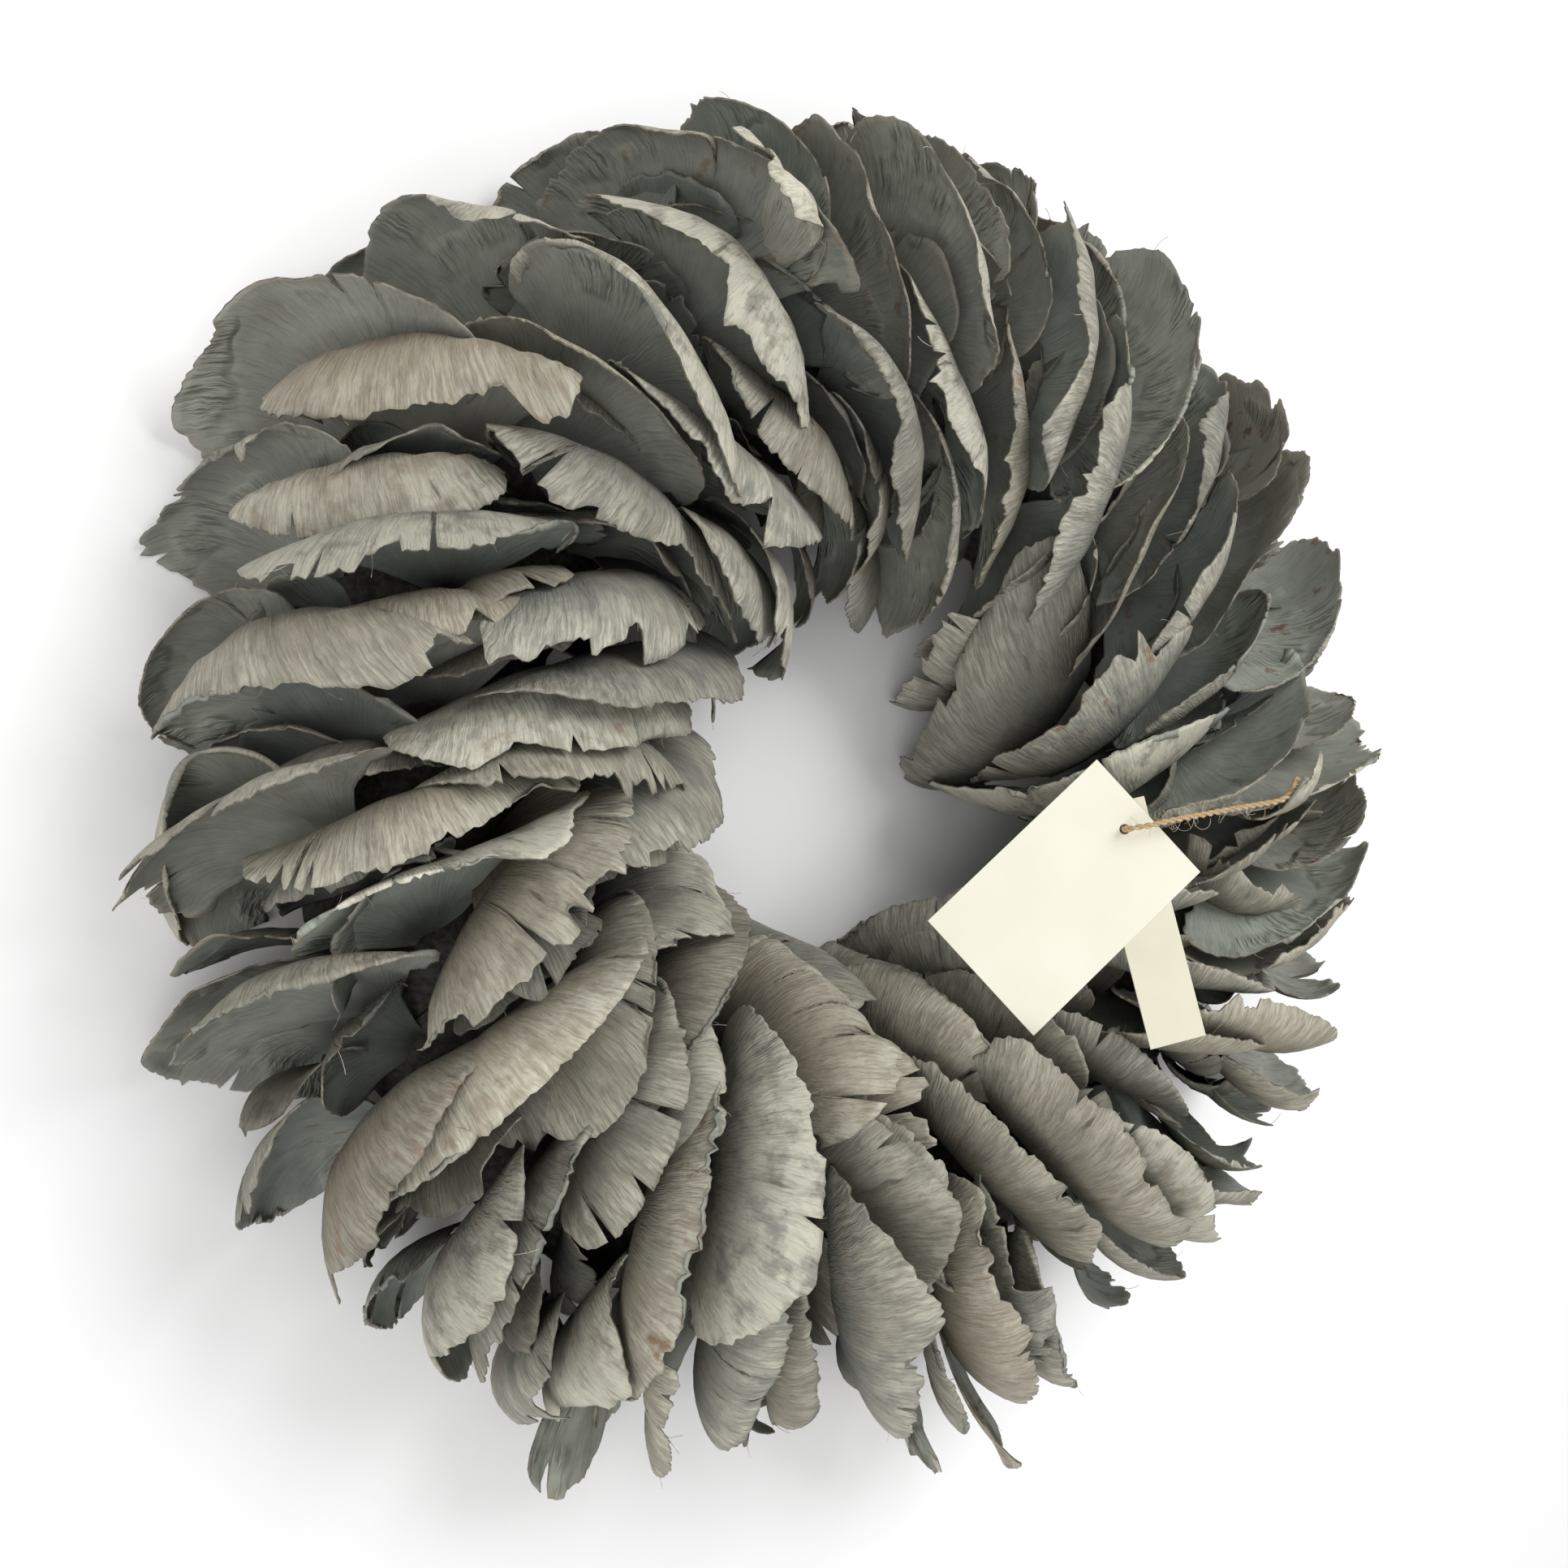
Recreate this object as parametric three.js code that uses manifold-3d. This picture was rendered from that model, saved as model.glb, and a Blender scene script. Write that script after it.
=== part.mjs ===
// A wreath of dried palm petals, glued in overlapping rows on a ring of bound straw, with two
// bare paper tags on a jute twine. Millimetres, +Z up, lying on the flat back of its ring.
import * as THREE from "three";
import Module from "manifold-3d";

const wasm = await Module();
wasm.setup();

const DEG = Math.PI / 180;
const TURN = 2 * Math.PI;

// The straw ring: a round bundle, pressed flat where it lies.
const RING_RADIUS = 158;
const STRAW_RADIUS = 30;
const AXIS_HEIGHT = 27;
const RING_STEPS = 40;
const FLAT_EDGE = Math.asin(AXIS_HEIGHT / STRAW_RADIUS);

// The bed of glued petal roots: a saddle over the straw, in one piece for each row of petals.
const ROWS = 27;
const ROW_PITCH = TURN / ROWS;
const BED_INNER = 31.8;
const BED_OUTER = 39;
const BED_FROM = -25 * DEG;
const BED_TO = 205 * DEG;
const BED_STEPS = 6;
const BED_GAP = 0.4;

// How far a row falls back, in pitches for each radian that it climbs over the straw.
const ROW_SLANT = -0.3;
const SLANT_ZERO = 5 * DEG;

// Lanes of petals round the straw: the angle that each has climbed (0 is the outer side, 90
// degrees the top), the share of the rows that have a petal in it, and its petals' size.
const LANES = [
  { climb: 5, share: 1, size: 1.0 },
  { climb: 40, share: 1, size: 1.04 },
  { climb: 75, share: 1, size: 1.06 },
  { climb: 111, share: 1, size: 1.05 },
  { climb: 148, share: 0.68, size: 1.13 },
  { climb: 180, share: 0.4, size: 1.15 },
];

// Petals: fans that lean back from their root and curl over forward at the toothed margin.
const PETAL_LENGTH = 77;
const FULLEST = 0.07;
const PETAL_THICKNESS = 1.4;
const PETAL_CLEARANCE = 0.45;
const PETAL_TWIST = 22;
const ROOT_RADIUS = 32.5;
const OUTLINE_GROWTH = 2.2;
const TOOTH = 0.035;
const MIDDLE_DIP = 0.02;
const CORNER_ROUNDING = 0.28;
const WAVE_RATE = 4.2;
const HEART = 0.6;
const NORMAL_STEP = 0.01;
const CURL_STEPS = 12;
const CUP_WIDTH = 45;
const GROUND_BEND = 8;
const GROUND_CLEAR = 1.5;
const PETAL_ROWS = [
  { t: 0.06, points: 2 },
  { t: 0.44, points: 2 },
  { t: 0.78, points: 5 },
  { t: 1, points: 9 },
];
const FIRST_SEED = 71993;
const SEED_STEP = 7919;
const RETRY_STEP = 104729;
const TRIES = 30;
const WARM_UP = 5;

// Two bare paper tags, one over the other on the same twine. They lie on the tips of the petals
// and face a viewer who leans over the wreath's right-hand side.
const VIEW_LEAN = 30 * DEG;
const CARD = { length: 85, width: 55, holeIn: 10, holeAside: 2.5, aim: [-0.736, -0.677], lift: 0 };
const LABEL = { length: 88, width: 21, holeIn: 10, holeAside: 0, aim: [0.227, -0.974], lift: -1 };
const TAG_THICKNESS = 0.6;
const TAG_TILT = 8 * DEG;
const TAG_HOLE_RADIUS = 2;
const TAG_HOLE_POINT = [76.4, -14.3, 111.5];

// The jute twine: from a knot under the tags through both holes, then down between two petals.
const TWINE_RADIUS = 1.2;
const TWINE_SIDES = 8;
const TWINE_STEPS = 34;
const TOUCH_GAP = 0.3;
const KNOT_RADIUS = 3.2;
const KNOT_HEIGHT = 4.4;
const TWINE_ROUTE = [
  [74.5, -14.0, 115.8],
  [76.2, -13.4, 118.6],
  [81.0, -12.6, 121.0],
  [88.4, -11.0, 123.0],
  [100.9, -9.1, 125.2],
  [116.3, -6.8, 127.2],
  [128.0, -5.3, 128.7],
  [135.0, -4.1, 130.4],
  [138.5, -2.4, 131.1],
  [142.8, 0.3, 130.0],
  [148.9, 2.5, 125.8],
  [156.7, 3.4, 119.3],
  [165.3, 3.6, 112.0],
];

const paperMaterial = new THREE.MeshStandardMaterial({ color: 0xe9e4d8, roughness: 0.7 });
const juteMaterial = new THREE.MeshStandardMaterial({ color: 0xb39468, roughness: 0.95 });
const petalMaterial = new THREE.MeshStandardMaterial({ color: 0x74756c, roughness: 0.85 });
const strawMaterial = new THREE.MeshStandardMaterial({ color: 0xa98f5c, roughness: 0.95 });

const RANDOM_FACTOR = 16807;
const RANDOM_PRIME = 2147483647;
let seed = FIRST_SEED;

// The next number of the random row, between two limits.
function draw(low, high) {
  seed = (seed * RANDOM_FACTOR) % RANDOM_PRIME;
  return low + ((high - low) * seed) / RANDOM_PRIME;
}

// The centre of the straw at a turn, and its axes: out of it, along the ring and over the top.
function tubeAxes(turn, climb) {
  const outward = new THREE.Vector3(Math.cos(turn), Math.sin(turn), 0);
  const up = new THREE.Vector3(0, 0, 1);
  return {
    centre: outward.clone().multiplyScalar(RING_RADIUS).addScaledVector(up, AXIS_HEIGHT),
    out: outward.clone().multiplyScalar(Math.cos(climb)).addScaledVector(up, Math.sin(climb)),
    along: new THREE.Vector3(-Math.sin(turn), Math.cos(turn), 0),
    over: outward.clone().multiplyScalar(-Math.sin(climb)).addScaledVector(up, Math.cos(climb)),
  };
}

// The turn of a row's middle line where it has climbed so far over the straw.
function rowTurn(row, climb) {
  return ROW_PITCH * (row + ROW_SLANT * (climb - SLANT_ZERO));
}

// How much larger the petals of a row are: the wreath is fullest on two opposite sides.
function fullness(row) {
  return 1 + FULLEST * Math.cos(row * ROW_PITCH) ** 2;
}

// The form of the petal at a row and lane. Each attempt draws another one.
function drawPetal(row, laneNumber, attempt) {
  const lane = LANES[laneNumber];
  seed = FIRST_SEED + SEED_STEP * (row * LANES.length + laneNumber) + RETRY_STEP * attempt;
  for (let i = 0; i < WARM_UP; i++) draw(0, 1);
  const offset = draw(-0.2, 0.2);
  const climb = (lane.climb + draw(-7, 7)) * DEG;
  const petal = {
    turn: rowTurn(row, climb) + offset * ROW_PITCH,
    climb,
    length: PETAL_LENGTH * lane.size * fullness(row) * draw(0.84, 1.12),
    spread: draw(48, 60) * DEG,
    lean: draw(-60, -32) * DEG,
    curl: draw(95, 155) * DEG,
    power: draw(1.8, 3),
    lopside: draw(-0.3, 0.3),
    cup: draw(1, 14),
    droop: draw(95, 220),
    skew: draw(-0.13, 0.13),
    twist: (PETAL_TWIST + draw(-13, 13)) * DEG,
    roll: draw(-12, 12) * DEG,
    wave: draw(0, 4),
    phase: draw(0, TURN),
  };
  return { row, ...petal, ...petalAxes(petal) };
}

// A petal's root and its own axes, set so that it leaves the bed at its turn and climb.
function petalAxes({ turn, climb, lean, twist, roll }) {
  const tube = tubeAxes(turn, climb);
  const side = tube.over.clone().multiplyScalar(Math.cos(twist));
  side.addScaledVector(tube.along, -Math.sin(twist));
  const forward = tube.along.clone().multiplyScalar(Math.cos(twist));
  forward.addScaledVector(tube.over, Math.sin(twist));
  const rise = tube.out.clone().multiplyScalar(Math.cos(roll));
  rise.addScaledVector(side, Math.sin(roll));
  const across = side.clone().multiplyScalar(Math.cos(roll));
  across.addScaledVector(tube.out, -Math.sin(roll));
  const root = tube.centre.clone().addScaledVector(tube.out, ROOT_RADIUS);
  root.addScaledVector(forward, (BED_OUTER - ROOT_RADIUS) * Math.tan(-lean));
  return { root, across, forward, rise };
}

// A point of a petal's middle surface: q runs across the fan from -1 to 1, and t along a fibre
// from 0 at the root to 1 at the margin. Near the surface below, the petal bends flat.
function petalPoint(petal, q, t) {
  const angle = q * petal.spread;
  const margin = (1 + MIDDLE_DIP * q ** 2 - CORNER_ROUNDING * q ** 6) * (1 + petal.skew * q);
  const fibre = petal.length * margin * t;
  const x = fibre * Math.sin(angle);
  const y = fibre * Math.cos(angle);
  let forward = petal.cup * (x / CUP_WIDTH) ** 2;
  forward += petal.wave * t ** 2 * Math.sin(WAVE_RATE * q + petal.phase);
  let rise = -(x ** 2) / (2 * petal.droop);
  for (let i = 0; i < CURL_STEPS; i++) {
    const share = (((i + 0.5) / CURL_STEPS) * y) / petal.length;
    const slope = petal.lean + petal.curl * (1 + petal.lopside * q) * share ** petal.power;
    forward += (Math.sin(slope) * y) / CURL_STEPS;
    rise += (Math.cos(slope) * y) / CURL_STEPS;
  }
  const point = petal.root.clone().addScaledVector(petal.across, x);
  point.addScaledVector(petal.forward, forward).addScaledVector(petal.rise, rise);
  if (point.z < GROUND_BEND) {
    const give = GROUND_BEND - GROUND_CLEAR;
    point.z = GROUND_CLEAR + give * Math.exp((point.z - GROUND_BEND) / give);
  }
  return point;
}

// A closed solid from vertices and triangles.
function solidFrom(vertices, triangles) {
  const mesh = new wasm.Mesh({
    numProp: 3,
    vertProperties: new Float32Array(vertices.flatMap((v) => v.toArray())),
    triVerts: new Uint32Array(triangles.flat()),
  });
  return new wasm.Manifold(mesh);
}

// Triangles between two rows of points that both run from q = -1 to q = 1.
function stitch(lower, upper) {
  const triangles = [];
  let [i, j] = [0, 0];
  while (i < lower.length - 1 || j < upper.length - 1) {
    const lowerNext = i < lower.length - 1 ? lower[i].q + lower[i + 1].q : Infinity;
    const upperNext = j < upper.length - 1 ? upper[j].q + upper[j + 1].q : Infinity;
    if (lowerNext <= upperNext) {
      triangles.push([lower[i].id, lower[i + 1].id, upper[j].id]);
      i++;
    } else {
      triangles.push([lower[i].id, upper[j + 1].id, upper[j].id]);
      j++;
    }
  }
  return triangles;
}

// A petal as a closed sheet, split into triangles alike on both faces. Growth thickens it and
// moves its outline outward.
function petalSolid(petal, growth) {
  const front = [];
  const back = [];
  const step = NORMAL_STEP;
  const half = PETAL_THICKNESS / 2 + growth;
  const heart = petalPoint(petal, 0, HEART);
  const rows = PETAL_ROWS.map(({ t, points }) =>
    Array.from({ length: points }, (_, i) => {
      const q = -1 + (2 * i) / (points - 1);
      const along = t === 1 ? t + (i % 2 ? TOOTH : -TOOTH) : t;
      const wide = petalPoint(petal, q + step, along).sub(petalPoint(petal, q - step, along));
      const long = petalPoint(petal, q, along + step).sub(petalPoint(petal, q, along - step));
      const normal = wide.cross(long).normalize();
      const middle = petalPoint(petal, q, along);
      if (t === 1 || Math.abs(q) === 1) {
        middle.addScaledVector(middle.clone().sub(heart).normalize(), OUTLINE_GROWTH * growth);
      }
      front.push(middle.clone().addScaledVector(normal, half));
      back.push(middle.addScaledVector(normal, -half));
      return { id: front.length - 1, q };
    }),
  );
  const count = front.length;
  const face = rows.slice(1).flatMap((row, k) => stitch(rows[k], row));
  const loop = [
    ...rows[0],
    ...rows.slice(1, -1).map((row) => row.at(-1)),
    ...rows.at(-1).toReversed(),
    ...rows.slice(1, -1).map((row) => row[0]).reverse(),
  ].map((point) => point.id);
  const rim = loop.flatMap((a, k) => {
    const b = loop[(k + 1) % loop.length];
    return [
      [b, a, a + count],
      [b, a + count, b + count],
    ];
  });
  const other = face.map(([a, b, c]) => [c + count, b + count, a + count]);
  return solidFrom([...front, ...back], [...face, ...other, ...rim]);
}

// One row's piece of the bed, which slants as the row does. Growth makes it larger all round.
function bedSolid(row, growth) {
  const vertices = [];
  for (let i = 0; i <= BED_STEPS; i++) {
    const climb = BED_FROM + ((BED_TO - BED_FROM) * i) / BED_STEPS;
    for (const radius of [BED_INNER - growth, BED_OUTER + growth]) {
      const half = ROW_PITCH / 2 - (BED_GAP / 2 - growth) / (RING_RADIUS + radius * Math.cos(climb));
      for (const end of [-half, half]) {
        const { centre, out } = tubeAxes(rowTurn(row, climb) + end, climb);
        vertices.push(centre.addScaledVector(out, radius));
      }
    }
  }
  const triangles = [];
  const quad = (a, b, c, d) => triangles.push([a, b, c], [a, c, d]);
  for (let k = 0; k < 4 * BED_STEPS; k += 4) {
    quad(k, k + 4, k + 5, k + 1);
    quad(k + 3, k + 7, k + 6, k + 2);
    quad(k + 2, k + 6, k + 4, k);
    quad(k + 5, k + 7, k + 3, k + 1);
  }
  const last = 4 * BED_STEPS;
  quad(0, 1, 3, 2);
  quad(last, last + 2, last + 3, last + 1);
  return solidFrom(vertices, triangles);
}

// Whether two solids' boxes meet.
function near(a, b) {
  return [0, 1, 2].every((i) => a.min[i] <= b.max[i] && b.min[i] <= a.max[i]);
}

// Every petal, row by row: of a few draws, the one that crosses the petals before it least.
function layPetals() {
  const petals = [];
  for (let row = 0; row < ROWS; row++) {
    for (const [laneNumber, lane] of LANES.entries()) {
      if (Math.floor((row + 1) * lane.share) === Math.floor(row * lane.share)) continue;
      let best = { crossing: Infinity };
      for (let attempt = 0; attempt < TRIES && best.crossing > 0; attempt++) {
        const petal = drawPetal(row, laneNumber, attempt);
        petal.solid = petalSolid(petal, 0);
        petal.clear = petalSolid(petal, PETAL_CLEARANCE).add(petal.solid);
        petal.box = petal.clear.boundingBox();
        petal.crossing = 0;
        for (const other of petals) {
          if (near(petal.box, other.box)) {
            petal.crossing += petal.solid.intersect(other.clear).volume();
          }
        }
        if (petal.crossing < best.crossing) best = petal;
      }
      petals.push(best);
    }
  }
  return petals;
}

// The body that holds on to the bed, without the scraps that a cut has left loose.
function rooted(solid) {
  return solid.decompose().sort((a, b) => b.volume() - a.volume())[0];
}

// Each row's petals fused with its piece of bed, cut clear of the rows before it.
function rowSolids(petals) {
  const solids = [];
  const cutters = [];
  for (let row = 0; row < ROWS; row++) {
    const own = petals.filter((petal) => petal.row === row);
    let solid = own.reduce((sum, petal) => sum.add(petal.solid), bedSolid(row, 0));
    const box = solid.boundingBox();
    for (const cutter of cutters.filter((c) => near(box, c.box))) {
      if (solid.intersect(cutter.solid).volume() > 0) solid = solid.subtract(cutter.solid);
    }
    solids.push(rooted(solid));
    for (const petal of own) cutters.push({ solid: petal.clear, box: petal.box });
    const bed = bedSolid(row, BED_GAP / 4);
    cutters.push({ solid: bed, box: bed.boundingBox() });
  }
  return solids;
}

// The three.js geometry of a solid.
function geometryOf(solid) {
  const mesh = solid.getMesh();
  return new THREE.BufferGeometry()
    .setAttribute("position", new THREE.BufferAttribute(mesh.vertProperties, 3))
    .setIndex(new THREE.BufferAttribute(mesh.triVerts, 1));
}

// The straw ring: its section stands at the bed's own angles, so that the two lie evenly apart.
function ringGeometry() {
  const climbs = [Math.PI + FLAT_EDGE, TURN - FLAT_EDGE];
  climbs.push((TURN - FLAT_EDGE + TURN + BED_FROM) / 2);
  for (let i = 0; i <= BED_STEPS; i++) {
    climbs.push(TURN + BED_FROM + ((BED_TO - BED_FROM) * i) / BED_STEPS);
  }
  climbs.push((TURN + BED_TO + 3 * Math.PI + FLAT_EDGE) / 2);
  climbs.push(climbs[0]);
  const section = climbs.map(
    (climb) =>
      new THREE.Vector2(
        RING_RADIUS + STRAW_RADIUS * Math.cos(climb),
        AXIS_HEIGHT + STRAW_RADIUS * Math.sin(climb),
      ),
  );
  return new THREE.LatheGeometry(section, RING_STEPS).rotateX(Math.PI / 2);
}

// The axes of a tag: x along it from its hole to its far end, z out of its face to the viewer.
function tagAxes(tag) {
  const right = new THREE.Vector3(Math.cos(VIEW_LEAN), 0, Math.sin(VIEW_LEAN));
  const up = new THREE.Vector3(0, 1, 0);
  const toViewer = right.clone().cross(up);
  const downhill = right.clone().multiplyScalar(CARD.aim[0]).addScaledVector(up, CARD.aim[1]);
  const face = toViewer.multiplyScalar(Math.cos(TAG_TILT));
  face.addScaledVector(downhill.normalize(), -Math.sin(TAG_TILT));
  const long = right.clone().multiplyScalar(tag.aim[0]).addScaledVector(up, tag.aim[1]);
  long.addScaledVector(face, -long.dot(face)).normalize();
  const hole = new THREE.Vector3(...TAG_HOLE_POINT).addScaledVector(face, tag.lift);
  return new THREE.Matrix4().makeBasis(long, face.clone().cross(long), face).setPosition(hole);
}

// A paper tag with its punched hole.
function tagGeometry(tag) {
  const outline = new THREE.Shape();
  const [near, far] = [-tag.holeIn, tag.length - tag.holeIn];
  const [left, right] = [tag.holeAside - tag.width / 2, tag.holeAside + tag.width / 2];
  outline.moveTo(near, left);
  outline.lineTo(far, left);
  outline.lineTo(far, right);
  outline.lineTo(near, right);
  const hole = new THREE.Path();
  hole.absarc(0, 0, TAG_HOLE_RADIUS, 0, TURN);
  outline.holes.push(hole);
  const settings = { depth: TAG_THICKNESS, bevelEnabled: false, curveSegments: TWINE_SIDES / 2 };
  return new THREE.ExtrudeGeometry(outline, settings).applyMatrix4(tagAxes(tag));
}

// The plain tube that the twine fills, from inside the tags' holes to between the petals.
function twineGeometry() {
  const section = new THREE.Shape();
  section.absarc(0, 0, TWINE_RADIUS, 0, TURN);
  const axes = tagAxes(CARD);
  const start = [LABEL.lift, TAG_THICKNESS + TWINE_RADIUS].map((z) => new THREE.Vector3(0, 0, z));
  const route = TWINE_ROUTE.map((point) => new THREE.Vector3(...point));
  const path = new THREE.CatmullRomCurve3([...start.map((v) => v.applyMatrix4(axes)), ...route]);
  path.curveType = "centripetal";
  return new THREE.ExtrudeGeometry(section, {
    steps: TWINE_STEPS,
    curveSegments: TWINE_SIDES / 2,
    extrudePath: path,
  });
}

// The knot that stops the twine under the smaller tag.
function knotGeometry() {
  const knot = new THREE.CylinderGeometry(KNOT_RADIUS, KNOT_RADIUS, KNOT_HEIGHT, TWINE_SIDES);
  knot.rotateX(Math.PI / 2).translate(0, 0, LABEL.lift - TOUCH_GAP - KNOT_HEIGHT / 2);
  return knot.applyMatrix4(tagAxes(CARD));
}

const wreath = new THREE.Group();

// Adds a named mesh to the wreath.
function addMesh(name, geometry, material) {
  const mesh = new THREE.Mesh(geometry, material);
  mesh.name = name;
  wreath.add(mesh);
  return mesh;
}

addMesh("ring_base", ringGeometry(), strawMaterial);
for (const [row, solid] of rowSolids(layPetals()).entries()) {
  addMesh(`petal_row_${String(row + 1).padStart(2, "0")}`, geometryOf(solid), petalMaterial);
}
// The origin stands under the middle of the petals, on the surface that the wreath lies on.
const extent = new THREE.Box3().setFromObject(wreath);
wreath.position.set(-(extent.min.x + extent.max.x) / 2, -(extent.min.y + extent.max.y) / 2, 0);

addMesh("tag_card", tagGeometry(CARD), paperMaterial);
addMesh("tag_label", tagGeometry(LABEL), paperMaterial);
addMesh("twine", twineGeometry(), juteMaterial);
addMesh("twine_knot", knotGeometry(), juteMaterial);

export default wreath;
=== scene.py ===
import math

import bmesh
import bpy
import numpy as np
from mathutils import Matrix, Vector
from mathutils.bvhtree import BVHTree


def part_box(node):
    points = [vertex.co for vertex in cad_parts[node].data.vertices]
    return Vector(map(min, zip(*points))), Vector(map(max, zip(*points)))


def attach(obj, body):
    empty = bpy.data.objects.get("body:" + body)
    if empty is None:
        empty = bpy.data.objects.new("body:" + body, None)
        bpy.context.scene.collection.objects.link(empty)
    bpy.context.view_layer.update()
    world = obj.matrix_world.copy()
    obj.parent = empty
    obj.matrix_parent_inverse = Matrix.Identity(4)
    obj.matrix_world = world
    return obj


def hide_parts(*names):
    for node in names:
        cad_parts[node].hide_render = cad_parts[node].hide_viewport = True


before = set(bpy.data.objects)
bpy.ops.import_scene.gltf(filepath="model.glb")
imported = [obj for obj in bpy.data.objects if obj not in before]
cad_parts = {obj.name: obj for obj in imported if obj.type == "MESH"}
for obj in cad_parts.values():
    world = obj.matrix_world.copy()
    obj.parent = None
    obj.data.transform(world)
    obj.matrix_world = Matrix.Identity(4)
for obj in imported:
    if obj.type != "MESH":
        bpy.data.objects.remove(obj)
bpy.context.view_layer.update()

# The viewer stands at the wreath's right-hand side and leans over it: the picture's up is +Y, and
# its plane leans 30 degrees. Places are in millimetres from the middle of the ring on the floor.
MM = 0.001
PICTURE_LEAN = math.radians(30)
FIELD_OF_VIEW = math.radians(55.1)
SENSOR_WIDTH = 36
LOOK_AT = Vector((-32, 2, 55))
EYE_DISTANCE = 534.5

ring_low, ring_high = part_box("ring_base")
MIDDLE = Vector(((ring_low[0] + ring_high[0]) / 2, (ring_low[1] + ring_high[1]) / 2, 0))
picture_right = Vector((math.cos(PICTURE_LEAN), 0, math.sin(PICTURE_LEAN)))
picture_up = Vector((0, 1, 0))
to_viewer = picture_right.cross(picture_up)


def put_in_scene(name, data):
    made = bpy.data.objects.new(name, data)
    bpy.context.scene.collection.objects.link(made)
    return made


camera = put_in_scene("camera", bpy.data.cameras.new("camera"))
camera.data.sensor_width = SENSOR_WIDTH
camera.data.lens = SENSOR_WIDTH / 2 / math.tan(FIELD_OF_VIEW / 2)
eye = MIDDLE + LOOK_AT * MM + to_viewer * EYE_DISTANCE * MM
axes = Matrix((picture_right, picture_up, to_viewer)).transposed()
camera.matrix_world = Matrix.Translation(eye) @ axes.to_4x4()
bpy.context.scene.camera = camera

# The studio: a pale floor with no edge in sight, a bright even sky, a wide soft light from the
# upper right, which brings out the fibres on the petals' backs, and a weaker one from the left.
FLOOR_HALF = 6
FLOOR_GREY = 0.93
SKY_STRENGTH = 0.6
LIGHT_AIM = Vector((0, 0, 0.05))


def new_material(name):
    material = bpy.data.materials.new(name)
    material.use_nodes = True
    return material, material.node_tree


def finish_mesh(name, vertices, faces, materials):
    mesh = bpy.data.meshes.new(name)
    mesh.from_pydata([tuple(v) for v in vertices], [], [tuple(f) for f in faces])
    for material in materials:
        mesh.materials.append(material)
    mesh.polygons.foreach_set("use_smooth", [True] * len(mesh.polygons))
    mesh.update()
    return put_in_scene(name, mesh)


floor_paint, tree = new_material("studio_floor")
shader = tree.nodes["Principled BSDF"]
shader.inputs["Base Color"].default_value = (FLOOR_GREY, FLOOR_GREY, FLOOR_GREY, 1)
shader.inputs["Roughness"].default_value = 0.9
ways = ((-1, -1), (1, -1), (1, 1), (-1, 1))
corners = [(x * FLOOR_HALF, y * FLOOR_HALF, 0) for x, y in ways]
floor = finish_mesh("studio_floor", corners, [(0, 1, 2, 3)], [floor_paint])

world = bpy.data.worlds.new("studio_sky")
bpy.context.scene.world = world
world.use_nodes = True
world.node_tree.nodes["Background"].inputs["Color"].default_value = (1, 1, 1, 1)
world.node_tree.nodes["Background"].inputs["Strength"].default_value = SKY_STRENGTH


def soft_light(name, place, size, power):
    light = put_in_scene(name, bpy.data.lights.new(name, "AREA"))
    light.data.size = size
    light.data.energy = power
    light.location = place
    light.rotation_euler = (LIGHT_AIM - light.location).to_track_quat("-Z", "Y").to_euler()


soft_light("window", (0.55, 0.8, 1.35), 0.9, 15.2)
soft_light("bounce", (-1.0, -0.7, 1.1), 1.2, 10.8)
bpy.context.scene.view_settings.view_transform = "Standard"

# The jute twine: two plies laid together, from a knot under the label up through both holes and
# down between two petals, where its end is held. The route is the one of the solid tube. The tags
# hang on it, so their common hole, their tilt and their thickness are given here as well.
TWINE_RADIUS = 1.2
TWINE_ROUTE = (
    (74.5, -14.0, 115.8),
    (76.2, -13.4, 118.6),
    (81.0, -12.6, 121.0),
    (88.4, -11.0, 123.0),
    (100.9, -9.1, 125.2),
    (116.3, -6.8, 127.2),
    (128.0, -5.3, 128.7),
    (135.0, -4.1, 130.4),
    (138.5, -2.4, 131.1),
    (142.8, 0.3, 130.0),
    (148.9, 2.5, 125.8),
    (156.7, 3.4, 119.3),
    (165.3, 3.6, 112.0),
)
ROUTE_STEPS = 12
TWINE_POINTS = 150
TWINE_LAY = 6.5
PLY_OFFSET = 0.46
PLY_RADIUS = 0.54
PLY_SIDES = 10
TAG_HOLE_POINT = (76.4, -14.3, 111.5)
TAG_TILT = math.radians(8)
CARD_AIM = (-0.736, -0.677)
LABEL_AIM = (0.227, -0.974)
LABEL_LIFT = -1
PAPER_THICKNESS = 0.6


def in_scene(points):
    """Millimetres from the ring's middle as metres in the scene."""
    return np.asarray(points) * MM + np.array(MIDDLE)


def tag_axes(aim, lift):
    """The axes of a tag that hangs from the common hole: its length, its width and its face."""
    downhill = (picture_right * CARD_AIM[0] + picture_up * CARD_AIM[1]).normalized()
    face = to_viewer * math.cos(TAG_TILT) - downhill * math.sin(TAG_TILT)
    long = picture_right * aim[0] + picture_up * aim[1]
    long = (long - face * long.dot(face)).normalized()
    turned = Matrix((long, face.cross(long), face)).transposed().to_4x4()
    place = MIDDLE + (Vector(TAG_HOLE_POINT) + face * lift) * MM
    return Matrix.Translation(place) @ turned


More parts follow.
